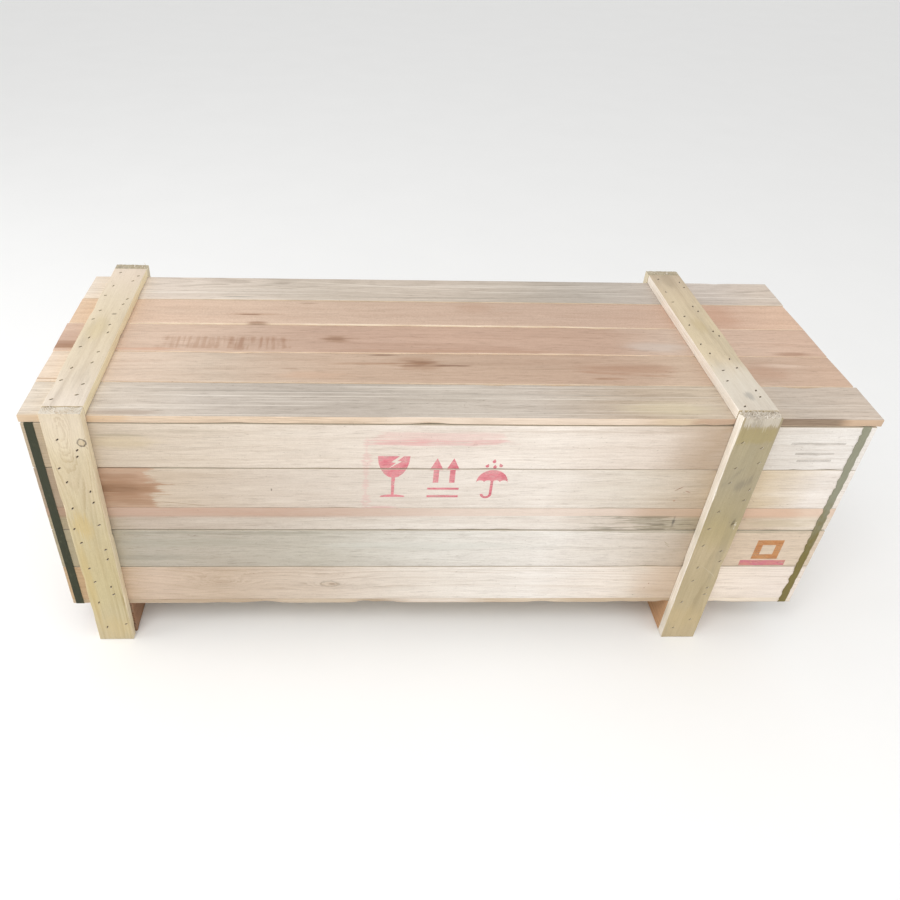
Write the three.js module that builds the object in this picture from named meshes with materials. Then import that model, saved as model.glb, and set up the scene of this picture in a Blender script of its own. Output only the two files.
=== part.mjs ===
// A long, low wooden shipping crate on two bearers, with a boarded lid that lifts off.
//
// Millimetres, +Z up. X runs along the crate, and the front wall faces -Y.
// The origin is on the ground, at the middle of the whole crate's length and depth.

import * as THREE from 'three';

// ---------------------------------------------------------------- driving dimensions

const BODY_LENGTH = 1800;
const BODY_DEPTH = 608;
const BEARER_HEIGHT = 110;
const BEARER_WIDTH = 90;
const BOARD_THICKNESS = 18;
const FLOOR_THICKNESS = 15;
const BATTEN_WIDTH = 85;
const BATTEN_THICKNESS = 24;
const BOARD_GAP = 1.5;

// Board widths, from the bottom of a wall up and from the front of a deck back.
const WALL_BOARDS = [116.5, 122.5, 69, 116, 120];
const LID_BOARDS = [120, 119.5, 122, 119.5, 119];
const FLOOR_BOARDS = [121, 120, 120, 120, 121];

// The lid boards are not trimmed to one line: how far each passes the body at either end.
const LID_LEFT_OVERHANG = [3, 3, 5, 3, 1];
const LID_RIGHT_OVERHANG = [9, 6, 8, 10, 15];
const LID_CLEARANCE = 1;
const LID_GAP = 2;

// The bands of battens and bearers, from the left end of the body to their left edges.
const LEFT_BAND = 52;
const RIGHT_BAND = 1487;

const POST_SIDE = 40;
const END_RAIL_HEIGHT = 60;
const END_RAIL_THICKNESS = 22;

const STRAP_WIDTH = 19;
const STRAP_THICKNESS = 1;
const STRAP_STANDOFF = 0.3;
const STRAP_FROM_LEFT_END = 7.5;
const STRAP_FROM_RIGHT_END = 12.5;
const SEAL_LENGTH = 32;
const SEAL_THICKNESS = 1.2;
const SEAL_GAP = 0.3;

const EDGE_CHAMFER = 1;

// ---------------------------------------------------------------- derived places

const OVERALL_LENGTH = BODY_LENGTH + Math.max(...LID_LEFT_OVERHANG) + Math.max(...LID_RIGHT_OVERHANG);
const LEFT = Math.max(...LID_LEFT_OVERHANG) - OVERALL_LENGTH / 2;
const RIGHT = LEFT + BODY_LENGTH;
const FRONT = -BODY_DEPTH / 2;
const REAR = BODY_DEPTH / 2;
const FLOOR_TOP = BEARER_HEIGHT + FLOOR_THICKNESS;
const WALL_TOP = FLOOR_TOP + sum(WALL_BOARDS) + BOARD_GAP * (WALL_BOARDS.length - 1);
const LID_BOTTOM = WALL_TOP + LID_GAP;
const LID_TOP = LID_BOTTOM + BOARD_THICKNESS;
const CRATE_TOP = LID_TOP + BATTEN_THICKNESS;

function sum(numbers) {
  return numbers.reduce((total, value) => total + value, 0);
}

// ---------------------------------------------------------------- finishes

const wallPine = new THREE.MeshStandardMaterial({ color: 0xe6d9c4, roughness: 0.8, metalness: 0 });
const greyPine = new THREE.MeshStandardMaterial({ color: 0xd3ccc0, roughness: 0.82, metalness: 0 });
const pinkPine = new THREE.MeshStandardMaterial({ color: 0xddb99a, roughness: 0.8, metalness: 0 });
const battenPine = new THREE.MeshStandardMaterial({ color: 0xd8c99c, roughness: 0.78, metalness: 0 });
const bearerWood = new THREE.MeshStandardMaterial({ color: 0xa9805e, roughness: 0.85, metalness: 0 });
const strapPlastic = new THREE.MeshStandardMaterial({ color: 0x3c4030, roughness: 0.45, metalness: 0 });
const sealSteel = new THREE.MeshStandardMaterial({ color: 0x9a9c9c, roughness: 0.4, metalness: 1 });

const WALL_FINISHES = [wallPine, greyPine, wallPine, wallPine, wallPine];
const LID_FINISHES = [greyPine, pinkPine, pinkPine, wallPine, greyPine];

// ---------------------------------------------------------------- one piece of timber

// Where a section's own x and y, and its length, point for each direction of the grain.
const X_AXIS = new THREE.Vector3(1, 0, 0);
const Y_AXIS = new THREE.Vector3(0, 1, 0);
const Z_AXIS = new THREE.Vector3(0, 0, 1);
const GRAIN_BASIS = {
  x: new THREE.Matrix4().makeBasis(Y_AXIS, Z_AXIS, X_AXIS),
  y: new THREE.Matrix4().makeBasis(Z_AXIS, X_AXIS, Y_AXIS),
  z: new THREE.Matrix4().makeBasis(X_AXIS, Y_AXIS, Z_AXIS),
};

function chamferedSection(width, height) {
  const x = width / 2;
  const y = height / 2;
  const cut = EDGE_CHAMFER;
  const outline = [
    [-x + cut, -y], [x - cut, -y], [x, -y + cut], [x, y - cut],
    [x - cut, y], [-x + cut, y], [-x, y - cut], [-x, -y + cut],
  ];
  return new THREE.Shape(outline.map(([px, py]) => new THREE.Vector2(px, py)));
}

// A sawn board between two opposite corners, its four long edges eased.
function timber(name, low, high, grain, material) {
  const size = { x: high[0] - low[0], y: high[1] - low[1], z: high[2] - low[2] };
  const across = { x: ['y', 'z'], y: ['z', 'x'], z: ['x', 'y'] }[grain];
  const section = chamferedSection(size[across[0]], size[across[1]]);
  const length = size[grain];
  const geometry = new THREE.ExtrudeGeometry(section, { depth: length, bevelEnabled: false });
  geometry.translate(0, 0, -length / 2);
  geometry.applyMatrix4(GRAIN_BASIS[grain]);
  const mesh = new THREE.Mesh(geometry, material);
  mesh.name = name;
  mesh.position.set((low[0] + high[0]) / 2, (low[1] + high[1]) / 2, (low[2] + high[2]) / 2);
  return mesh;
}

// The low edge of every board laid side by side with the usual gap, from a starting edge.
function boardEdges(widths, start) {
  const edges = [];
  let edge = start;
  for (const width of widths) {
    edges.push(edge);
    edge += width + BOARD_GAP;
  }
  return edges;
}

// ---------------------------------------------------------------- base

const BANDS = { left: LEFT + LEFT_BAND, right: LEFT + RIGHT_BAND };

// Two square bearers across the crate: forks pass between them, under the floor.
function bearers() {
  return Object.entries(BANDS).map(([side, edge]) => timber(
    `bearer_${side}`,
    [edge, FRONT, 0],
    [edge + BEARER_WIDTH, REAR, BEARER_HEIGHT],
    'y',
    bearerWood,
  ));
}

// Floor boards lie along the crate on the bearers, and the walls stand on them.
function floor() {
  const edges = boardEdges(FLOOR_BOARDS, FRONT);
  return FLOOR_BOARDS.map((width, i) => timber(
    `floor_board_${i + 1}`,
    [LEFT, edges[i], BEARER_HEIGHT],
    [RIGHT, edges[i] + width, FLOOR_TOP],
    'x',
    wallPine,
  ));
}

// ---------------------------------------------------------------- walls

function longWall(side, outerFace, innerFace) {
  const edges = boardEdges(WALL_BOARDS, FLOOR_TOP);
  return WALL_BOARDS.map((width, i) => timber(
    `${side}_board_${i + 1}`,
    [LEFT, Math.min(outerFace, innerFace), edges[i]],
    [RIGHT, Math.max(outerFace, innerFace), edges[i] + width],
    'x',
    WALL_FINISHES[i],
  ));
}

// The end boards fit between the long walls and are nailed to the posts in the corners.
function endWall(side, outerFace, inward) {
  const innerFace = outerFace + inward * BOARD_THICKNESS;
  const edges = boardEdges(WALL_BOARDS, FLOOR_TOP);
  return WALL_BOARDS.map((width, i) => timber(
    `${side}_end_board_${i + 1}`,
    [Math.min(outerFace, innerFace), FRONT + BOARD_THICKNESS, edges[i]],
    [Math.max(outerFace, innerFace), REAR - BOARD_THICKNESS, edges[i] + width],
    'y',
    wallPine,
  ));
}

function cornerPosts(side, outerFace, inward) {
  const near = outerFace + inward * BOARD_THICKNESS;
  const far = near + inward * POST_SIDE;
  const corners = {
    front: FRONT + BOARD_THICKNESS,
    rear: REAR - BOARD_THICKNESS - POST_SIDE,
  };
  return Object.entries(corners).map(([wall, edge]) => timber(
    `corner_post_${wall}_${side}`,
    [Math.min(near, far), edge, FLOOR_TOP],
    [Math.max(near, far), edge + POST_SIDE, WALL_TOP],
    'z',
    battenPine,
  ));
}

// A rail between the posts stiffens the end wall's top edge, where the strap bears on it.
function endRail(side, outerFace, inward) {
  const near = outerFace + inward * BOARD_THICKNESS;
  const far = near + inward * END_RAIL_THICKNESS;
  const inset = BOARD_THICKNESS + POST_SIDE;
  return timber(
    `end_rail_${side}`,
    [Math.min(near, far), FRONT + inset, WALL_TOP - END_RAIL_HEIGHT],
    [Math.max(near, far), REAR - inset, WALL_TOP],
    'y',
    battenPine,
  );
}

// Battens stand on the ground in front of and behind each bearer, and pass the lid.
function uprights() {
  const faces = { front: FRONT - BATTEN_THICKNESS, rear: REAR };
  const pieces = [];
  for (const [side, edge] of Object.entries(BANDS)) {
    for (const [wall, face] of Object.entries(faces)) {
      pieces.push(timber(
        `batten_${wall}_${side}`,
        [edge, face, 0],
        [edge + BATTEN_WIDTH, face + BATTEN_THICKNESS, CRATE_TOP],
        'z',
        battenPine,
      ));
    }
  }
  return pieces;
}

// ---------------------------------------------------------------- strapping

// A rectangle in the Y-Z plane, drawn in a shape's own x and y, as a ring's rim or hole.
function rectangle(kind, low, high) {
  const path = new kind();
  path.moveTo(low[0], low[1]);
  path.lineTo(high[0], low[1]);
  path.lineTo(high[0], high[1]);
  path.lineTo(low[0], high[1]);
  path.closePath();
  return path;
}

// A strap loop round the body near one end, over the wall tops and under the lid.
function strapLoop(side, edge) {
  const inner = STRAP_STANDOFF;
  const outer = STRAP_STANDOFF + STRAP_THICKNESS;
  const rim = rectangle(THREE.Shape, [FRONT - outer, BEARER_HEIGHT - outer], [REAR + outer, WALL_TOP + outer]);
  rim.holes.push(rectangle(THREE.Path, [FRONT - inner, BEARER_HEIGHT - inner], [REAR + inner, WALL_TOP + inner]));
  const geometry = new THREE.ExtrudeGeometry(rim, { depth: STRAP_WIDTH, bevelEnabled: false });
  geometry.applyMatrix4(GRAIN_BASIS.x);
  const mesh = new THREE.Mesh(geometry, strapPlastic);
  mesh.name = `strap_${side}`;
  mesh.position.x = edge;
  return mesh;
}

// A pressed steel clip closes each strap at the rear: a channel over its face and edges.
function strapSeal(side, edge) {
  const strapFace = REAR + STRAP_STANDOFF + STRAP_THICKNESS;
  const inside = STRAP_WIDTH / 2 + SEAL_GAP;
  const outside = inside + SEAL_THICKNESS;
  const crown = strapFace + SEAL_GAP;
  const wall = REAR + SEAL_GAP;
  const channel = new THREE.Shape([
    [-outside, wall], [-inside, wall], [-inside, crown], [inside, crown],
    [inside, wall], [outside, wall], [outside, crown + SEAL_THICKNESS], [-outside, crown + SEAL_THICKNESS],
  ].map(([x, y]) => new THREE.Vector2(x, y)));
  const geometry = new THREE.ExtrudeGeometry(channel, { depth: SEAL_LENGTH, bevelEnabled: false });
  const mesh = new THREE.Mesh(geometry, sealSteel);
  mesh.name = `strap_seal_${side}`;
  mesh.position.set(edge + STRAP_WIDTH / 2, 0, (FLOOR_TOP + WALL_TOP) / 2);
  return mesh;
}

// ---------------------------------------------------------------- lid

// The lid boards lie along the crate, with their sawn ends a little out of line.
function lidBoards() {
  const edges = boardEdges(LID_BOARDS, FRONT + LID_CLEARANCE);
  return LID_BOARDS.map((width, i) => timber(
    `lid_board_${i + 1}`,
    [LEFT - LID_LEFT_OVERHANG[i], edges[i], LID_BOTTOM],
    [RIGHT + LID_RIGHT_OVERHANG[i], edges[i] + width, LID_TOP],
    'x',
    LID_FINISHES[i],
  ));
}

// Two battens across the lid hold its boards together, between the tops of the uprights.
function lidBattens() {
  return Object.entries(BANDS).map(([side, edge]) => timber(
    `lid_batten_${side}`,
    [edge, FRONT + LID_CLEARANCE, LID_TOP],
    [edge + BATTEN_WIDTH, REAR - LID_CLEARANCE, CRATE_TOP],
    'y',
    battenPine,
  ));
}

// ---------------------------------------------------------------- the crate

const crate = new THREE.Group();
crate.name = 'shipping_crate';
crate.add(...bearers(), ...floor());
crate.add(...longWall('front', FRONT, FRONT + BOARD_THICKNESS));
crate.add(...longWall('rear', REAR, REAR - BOARD_THICKNESS));
for (const [side, outerFace, inward] of [['left', LEFT, 1], ['right', RIGHT, -1]]) {
  crate.add(...endWall(side, outerFace, inward));
  crate.add(...cornerPosts(side, outerFace, inward));
  crate.add(endRail(side, outerFace, inward));
}
crate.add(...uprights());
const strapEdges = { left: LEFT + STRAP_FROM_LEFT_END, right: RIGHT - STRAP_FROM_RIGHT_END - STRAP_WIDTH };
for (const [side, edge] of Object.entries(strapEdges)) {
  crate.add(strapLoop(side, edge), strapSeal(side, edge));
}
crate.add(...lidBoards(), ...lidBattens());

export default crate;
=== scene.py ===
"""A long, low shipping crate of sawn boards on two bearers, with a lid that lifts off."""

import math
import random

import bmesh
import bpy
import numpy as np
from mathutils import Matrix, Vector, noise
from mathutils.bvhtree import BVHTree


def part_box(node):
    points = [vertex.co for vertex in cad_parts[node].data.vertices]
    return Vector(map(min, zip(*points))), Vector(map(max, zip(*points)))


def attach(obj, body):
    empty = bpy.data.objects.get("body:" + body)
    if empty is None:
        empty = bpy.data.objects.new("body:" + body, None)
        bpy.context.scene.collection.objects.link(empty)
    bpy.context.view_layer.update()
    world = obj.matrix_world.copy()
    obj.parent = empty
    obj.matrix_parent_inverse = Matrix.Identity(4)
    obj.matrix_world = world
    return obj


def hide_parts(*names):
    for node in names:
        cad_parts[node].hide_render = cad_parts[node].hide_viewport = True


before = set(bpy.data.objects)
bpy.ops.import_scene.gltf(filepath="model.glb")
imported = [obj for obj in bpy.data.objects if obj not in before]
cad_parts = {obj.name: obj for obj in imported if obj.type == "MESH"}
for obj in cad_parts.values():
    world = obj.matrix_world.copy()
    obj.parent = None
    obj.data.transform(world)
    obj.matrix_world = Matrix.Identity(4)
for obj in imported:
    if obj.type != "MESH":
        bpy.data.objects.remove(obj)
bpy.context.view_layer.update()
scene = bpy.context.scene

# ------------------------------------------------------------------ camera
# A phone held at head height in front of the crate, a little left of its middle, looking
# down on the lid and the front wall. The view is cropped off centre, so the lens is shifted
# to match.

front_left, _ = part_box("front_board_1")
camera_data = bpy.data.cameras.new("crate_camera")
camera_data.sensor_width = 36.0
camera_data.lens = 31.24
camera_data.shift_x = 0.0853
camera_data.shift_y = -0.0737
camera_data.clip_end = 100.0
camera = bpy.data.objects.new("crate_camera", camera_data)
scene.collection.objects.link(camera)
heading = Matrix.Rotation(math.radians(-2.44), 4, "Z")
tilt = Matrix.Rotation(math.radians(90.0 - 35.34), 4, "X")
roll = Matrix.Rotation(math.radians(1.83), 4, "Z")
stand_point = Vector((front_left.x + 0.668, front_left.y - 1.2746, 1.6856))
camera.matrix_world = Matrix.Translation(stand_point) @ heading @ tilt @ roll
scene.camera = camera

# ------------------------------------------------------------------ floor and light
# A plain pale floor and soft studio light: a large panel high in front on the left, a weaker
# one on the right, a low one at the left end, and a bright even surround that keeps the
# shadows open.


def feed(tree, socket, value):
    """Links an output socket to this input, or sets the input's own value."""
    if isinstance(value, bpy.types.NodeSocket):
        tree.links.new(value, socket)
    else:
        socket.default_value = value


def colour(hex_code):
    """A linear colour with alpha from the six hex digits of a screen colour."""
    parts = [int(hex_code[i:i + 2], 16) / 255 for i in (0, 2, 4)]
    linear = [c / 12.92 if c <= 0.04045 else ((c + 0.055) / 1.055) ** 2.4 for c in parts]
    return (*linear, 1.0)


def coordinates(tree):
    return tree.nodes.new("ShaderNodeTexCoord")


def scaled(tree, vector, scale, shift=(0.0, 0.0, 0.0)):
    node = tree.nodes.new("ShaderNodeVectorMath")
    node.operation = "MULTIPLY_ADD"
    feed(tree, node.inputs[0], vector)
    node.inputs[1].default_value = scale
    feed(tree, node.inputs[2], shift)
    return node.outputs["Vector"]


def noisy(tree, vector, detail=2.0, roughness=0.5):
    """Smooth noise from 0 to 1, one bump to each unit of the vector."""
    node = tree.nodes.new("ShaderNodeTexNoise")
    feed(tree, node.inputs["Vector"], vector)
    node.inputs["Scale"].default_value = 1.0
    node.inputs["Detail"].default_value = detail
    node.inputs["Roughness"].default_value = roughness
    return node.outputs["Fac"]


def calc(tree, operation, a, b=0.0):
    node = tree.nodes.new("ShaderNodeMath")
    node.operation = operation
    feed(tree, node.inputs[0], a)
    feed(tree, node.inputs[1], b)
    return node.outputs["Value"]


def remap(tree, value, low, high, new_low=0.0, new_high=1.0):
    """Eases a value between two limits and holds it beyond them."""
    node = tree.nodes.new("ShaderNodeMapRange")
    node.interpolation_type = "SMOOTHSTEP"
    feed(tree, node.inputs["Value"], value)
    feed(tree, node.inputs["From Min"], low)
    feed(tree, node.inputs["From Max"], high)
    node.inputs["To Min"].default_value = new_low
    node.inputs["To Max"].default_value = new_high
    return node.outputs["Result"]


def blend(tree, factor, a, b, kind="MIX"):
    node = tree.nodes.new("ShaderNodeMix")
    node.data_type = "RGBA"
    node.blend_type = kind
    feed(tree, node.inputs["Factor"], factor)
    feed(tree, node.inputs["A"], a)
    feed(tree, node.inputs["B"], b)
    return node.outputs["Result"]


def new_material(name):
    """A material with its node tree and its one Principled shader."""
    material = bpy.data.materials.new(name)
    material.use_nodes = True
    return material, material.node_tree, material.node_tree.nodes["Principled BSDF"]


floor_mesh = bpy.data.meshes.new("studio_floor")
floor_half = 30.0
floor_mesh.from_pydata(
    [(-floor_half, -floor_half, 0), (floor_half, -floor_half, 0),
     (floor_half, floor_half, 0), (-floor_half, floor_half, 0)],
    [], [(0, 1, 2, 3)])
floor_object = bpy.data.objects.new("studio_floor", floor_mesh)
scene.collection.objects.link(floor_object)
floor_finish, tree, shader = new_material("studio_paint")
mottle = noisy(tree, scaled(tree, coordinates(tree).outputs["Object"], (3.0, 3.0, 3.0)))
tree.links.new(blend(tree, mottle, colour("f4f4f3"), colour("f7f7f6")), shader.inputs["Base Color"])
shader.inputs["Roughness"].default_value = 0.9
floor_mesh.materials.append(floor_finish)


def soft_panel(name, place, aim, width, power):
    data = bpy.data.lights.new(name, "AREA")
    data.shape = "SQUARE"
    data.size = width
    data.energy = power
    lamp = bpy.data.objects.new(name, data)
    scene.collection.objects.link(lamp)
    lamp.location = place
    lamp.rotation_euler = (Vector(aim) - Vector(place)).to_track_quat("-Z", "Y").to_euler()


crate_middle = (0.0, 0.0, 0.4)
soft_panel("key_panel", (-1.3, -2.3, 4.2), crate_middle, 1.8, 66.0)
soft_panel("fill_panel", (3.0, -2.6, 2.6), crate_middle, 2.6, 20.0)
soft_panel("side_panel", (-4.0, -0.5, 1.5), crate_middle, 2.0, 42.0)
surround = bpy.data.worlds.new("studio_surround")
surround.use_nodes = True
surround.node_tree.nodes["Background"].inputs["Color"].default_value = (1.0, 1.0, 1.0, 1.0)
surround.node_tree.nodes["Background"].inputs["Strength"].default_value = 0.79
scene.world = surround
scene.view_settings.view_transform = "Standard"

# ------------------------------------------------------------------ sawn timber
# Every board, batten and bearer is sawn softwood: straight long edges a little eased by the
# saw and by handling, small splinters out of them, and ends cut across the grain by hand.
# A piece is made in its own axes: x along the grain, y across its width, z out of its face.

AXES = {"x": Vector((1, 0, 0)), "y": Vector((0, 1, 0)), "z": Vector((0, 0, 1))}
CHIP_REACH = 0.006
TORN_LENGTH = 0.012


def stations(half, ease, step, end_rows=0):
    """Places from edge to edge along one axis, close together where the edge is eased, with
    extra rows 2 mm apart near the ends where asked for."""
    inner = half - ease
    count = max(1, round(2 * inner / step))
    places = {round(-inner + 2 * inner * i / count, 6) for i in range(count + 1)}
    for row in range(1, end_rows + 1):
        places.update((round(inner - 0.002 * row, 6), round(0.002 * row - inner, 6)))
    return [-half, -half + 0.4 * ease, *sorted(places), half - 0.4 * ease, half]


def lattice_box(name, along, across, through):
    """A closed box of quads on three lists of stations."""
    counts = (len(along), len(across), len(through))
    index = {}
    points = []
    for i, x in enumerate(along):
        for j, y in enumerate(across):
            for k, z in enumerate(through):
                on_skin = any(n in (0, c - 1) for n, c in zip((i, j, k), counts))
                if on_skin:
                    index[i, j, k] = len(points)
                    points.append((x, y, z))
    faces = []
    for axis in range(3):
        u, v = (axis + 1) % 3, (axis + 2) % 3
        for side in (0, counts[axis] - 1):
            for a in range(counts[u] - 1):
                for b in range(counts[v] - 1):
                    corners = [(a, b), (a + 1, b), (a + 1, b + 1), (a, b + 1)]
                    if side == 0:
                        corners.reverse()
                    quad = []
                    for p, q in corners:
                        key = [0, 0, 0]
                        key[axis], key[u], key[v] = side, p, q
                        quad.append(index[tuple(key)])
                    faces.append(quad)
    mesh = bpy.data.meshes.new(name)
    mesh.from_pydata(points, [], faces)
    return mesh


def sawn_timber(name, node, grain, face, seed, step=0.02, ease=0.0016, wander=0.0005, chips=4,
                chip_depth=0.002, end_skew=(0.0, 0.0), trims=((0, 0), (0, 0)), lift=None,
                torn=(0.0, 0.0), gouges=()):
    """A board in the place of a CAD node. face is the axis, with its sign, that its best side
    looks along. trims says how far its low and high edges stand back, each at its left and
    right ends; lift is a list of (place along, height) that its low edge springs up to; torn
    is how deep each end is ripped; gouges are (along, across, radius, depth) in its face."""
    low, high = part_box(node)
    along_axis = AXES[grain]
    face_axis = AXES[face[1]] * (1 if face[0] == "+" else -1)
    width_axis = face_axis.cross(along_axis)
    size = high - low
    half = [abs(size.dot(axis)) / 2 for axis in (along_axis, width_axis, face_axis)]
    fine = any(torn) or gouges
    lists = [stations(half[0], ease, step, 6 if fine else 0),
             stations(half[1], ease, 0.004 if fine else 0.014),
             stations(half[2], ease, 0.004 if fine else 0.008)]
    mesh = lattice_box(name, *lists)
    rng = random.Random(seed)
    nicks = [(rng.uniform(-half[0], half[0]), rng.choice((-1, 1)), rng.choice((-1, 1)),
              rng.uniform(0.008, 0.035), rng.uniform(0.3, 1.0) * chip_depth) for _ in range(chips)]
    inner = Vector([h - ease for h in half])
    for vertex in mesh.vertices:
        p = vertex.co
        core = Vector([max(-inner[i], min(inner[i], p[i])) for i in range(3)])
        x, y, z = core + (p - core).normalized() * ease
        side_y = y / half[1]
        side_z = z / half[2]
        end = x / half[0]
        spot = Vector((x * 4.0, seed * 3.7, 2.0 * math.copysign(1, y)))
        y += side_y * wander * noise.noise(spot)
        swell = noise.noise(Vector((x * 9.0, y * 25.0, seed * 1.3 + side_z)))
        z += max(0.0, side_z) * wander * 0.5 * swell
        for place, edge_y, edge_z, length, depth in nicks:
            near = math.exp(-((x - place) / length) ** 2)
            corner = max(0.0, side_y * edge_y * half[1] - half[1] + CHIP_REACH) / CHIP_REACH
            corner *= max(0.0, side_z * edge_z * half[2] - half[2] + CHIP_REACH) / CHIP_REACH
            y -= edge_y * depth * near * corner
            z -= edge_z * depth * near * corner
        for place, across, radius, depth in gouges:
            away = math.hypot(x - place, y - across) / radius
            z -= depth * math.exp(-away * away) * max(0.0, side_z)
        if abs(end) > 0.999:
            saw_depth = 0.0006 * abs(noise.noise(Vector((y * 160.0, z * 160.0, seed * 2.1))))
            x -= math.copysign(saw_depth, end)
        rip = torn[0] if end < 0 else torn[1]
        if rip:
            near_end = max(0.0, abs(x) - half[0] + TORN_LENGTH) / TORN_LENGTH
            ragged = noise.noise(Vector((y * 330.0, z * 210.0, seed * 5.3)))
            x -= math.copysign(rip * near_end * max(0.0, 0.35 + ragged), end)
            thinned = rip * 0.35 * near_end
            y -= side_y * thinned * abs(noise.noise(Vector((x * 120.0, z * 260.0, seed))))
            z -= side_z * thinned * abs(noise.noise(Vector((x * 120.0, y * 260.0, -seed))))
        skew = end_skew[0] if end < 0 else end_skew[1]
        x += skew * side_y * max(0.0, abs(end) - 0.8) * 5.0
        left, right = trims[0] if y < 0 else trims[1]
        y -= side_y * (left + (right - left) * (end + 1) / 2)
        if lift:
            height = np.interp(x, [place for place, _ in lift], [height for _, height in lift])
            z += height * (1 - side_y) / 2
        vertex.co = (x, y, z)
    mesh.polygons.foreach_set("use_smooth", [True] * len(mesh.polygons))
    piece = bpy.data.objects.new(name, mesh)
    scene.collection.objects.link(piece)
    turn = Matrix((along_axis, width_axis, face_axis)).transposed().to_4x4()
    piece.matrix_world = Matrix.Translation((low + high) / 2) @ turn
    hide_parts(node)
    return piece, half


# ------------------------------------------------------------------ wood grain and marks
# Effects that all the timber shares: rings, knots, stains and patches of painted shade, saw marks
# and cut faces. Each works in the piece's own axes, in metres. While one is built, g is its tree,
# and given and result are its inputs and outputs.


def new_group(name, inputs, outputs):
    """An empty node group with named sockets, and its tree's input and output nodes."""
    tree = bpy.data.node_groups.new(name, "ShaderNodeTree")
    kinds = {"value": "NodeSocketFloat", "vector": "NodeSocketVector"}
    for label, kind, default in inputs:
        socket = tree.interface.new_socket(label, in_out="INPUT", socket_type=kinds[kind])
        socket.default_value = default
    for label in outputs:
        tree.interface.new_socket(label, in_out="OUTPUT", socket_type="NodeSocketFloat")
    source = tree.nodes.new("NodeGroupInput")
    sink = tree.nodes.new("NodeGroupOutput")
    return tree, source.outputs, sink.inputs


def place_group(tree, group, **values):
    """A node group in a material, with values or links for its inputs by name."""
    node = tree.nodes.new("ShaderNodeGroup")
    node.node_tree = group
    for label, value in values.items():
        feed(tree, node.inputs[label.replace("_", " ")], value)
    return node.outputs


def seeded(tree, vector, seed, scale):
    """The vector stretched by a scale and moved to a part of the noise of its own."""
    shift = tree.nodes.new("ShaderNodeVectorMath")
    shift.operation = "SCALE"
    shift.inputs[0].default_value = (1.7, 3.1, 5.3)
    feed(tree, shift.inputs["Scale"], seed)
    return scaled(tree, vector, scale, shift.outputs["Vector"])


def split(tree, vector):
    node = tree.nodes.new("ShaderNodeSeparateXYZ")
    feed(tree, node.inputs[0], vector)
    return node.outputs


def times(tree, a, b):
    return calc(tree, "MULTIPLY", a, b)


def plus(tree, a, b):
    return calc(tree, "ADD", a, b)


def minus(tree, a, b):
    return calc(tree, "SUBTRACT", a, b)


# Growth rings round a pith that runs beside the piece, with fibres, short dark dashes, thin
# gleaming lines, broad streaks and the fuzz that a saw leaves.
growth_rings, given, result = new_group("growth_rings", [
    ("Vector", "vector", (0, 0, 0)), ("Seed", "value", 0.0), ("Pith Across", "value", 0.0),
    ("Pith Depth", "value", 0.1), ("Ring Width", "value", 0.005), ("Taper", "value", 0.01),
    ("Swell", "value", 0.0)], ["Latewood", "Fibre", "Streak", "Dash", "Gleam", "Fuzz"])
g = growth_rings
place = split(g, given["Vector"])
wobble = minus(g, noisy(g, seeded(g, given["Vector"], given["Seed"], (1.6, 9.0, 9.0)), 3.0), 0.5)
fine_wobble = noisy(g, seeded(g, given["Vector"], given["Seed"], (9.0, 90.0, 90.0)), 2.0)
across = minus(g, place["Y"], given["Pith Across"])
depth = plus(g, place["Z"], given["Pith Depth"])
reach = calc(g, "SQRT", plus(g, times(g, across, across), times(g, depth, depth)))
reach = plus(g, reach, times(g, wobble, 0.014))
reach = plus(g, reach, times(g, fine_wobble, 0.0022))
reach = plus(g, reach, times(g, place["X"], given["Taper"]))
reach = plus(g, reach, given["Swell"])
turns = calc(g, "DIVIDE", reach, given["Ring Width"])
part = calc(g, "FRACT", turns)
ring_noise = g.nodes.new("ShaderNodeTexWhiteNoise")
ring_noise.noise_dimensions = "1D"
g.links.new(plus(g, calc(g, "FLOOR", turns), given["Seed"]), ring_noise.inputs["W"])
strength = plus(g, times(g, ring_noise.outputs["Value"], 0.8), 0.2)
rise = remap(g, part, 0.2, 0.85)
fall = remap(g, part, 0.88, 1.0, 1.0, 0.0)
gaps = noisy(g, seeded(g, given["Vector"], given["Seed"], (4.0, 60.0, 60.0)), 2.0)
broken = remap(g, gaps, 0.3, 0.62)
g.links.new(times(g, times(g, times(g, rise, fall), strength), broken), result["Latewood"])
fibres = noisy(g, seeded(g, given["Vector"], given["Seed"], (14.0, 520.0, 520.0)), 3.0, 0.65)
g.links.new(fibres, result["Fibre"])
streaks = noisy(g, seeded(g, given["Vector"], given["Seed"], (1.6, 42.0, 42.0)), 4.0, 0.6)
g.links.new(streaks, result["Streak"])
dashes = noisy(g, seeded(g, given["Vector"], given["Seed"], (24.0, 480.0, 480.0)), 2.0, 0.65)
g.links.new(remap(g, dashes, 0.56, 0.68), result["Dash"])
lines = noisy(g, seeded(g, given["Vector"], given["Seed"], (1.6, 210.0, 210.0)), 1.5, 0.6)
g.links.new(remap(g, lines, 0.56, 0.66), result["Gleam"])
fuzz = noisy(g, seeded(g, given["Vector"], given["Seed"], (210.0, 300.0, 300.0)), 4.0, 0.8)
g.links.new(remap(g, fuzz, 0.38, 0.62), result["Fuzz"])

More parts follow.
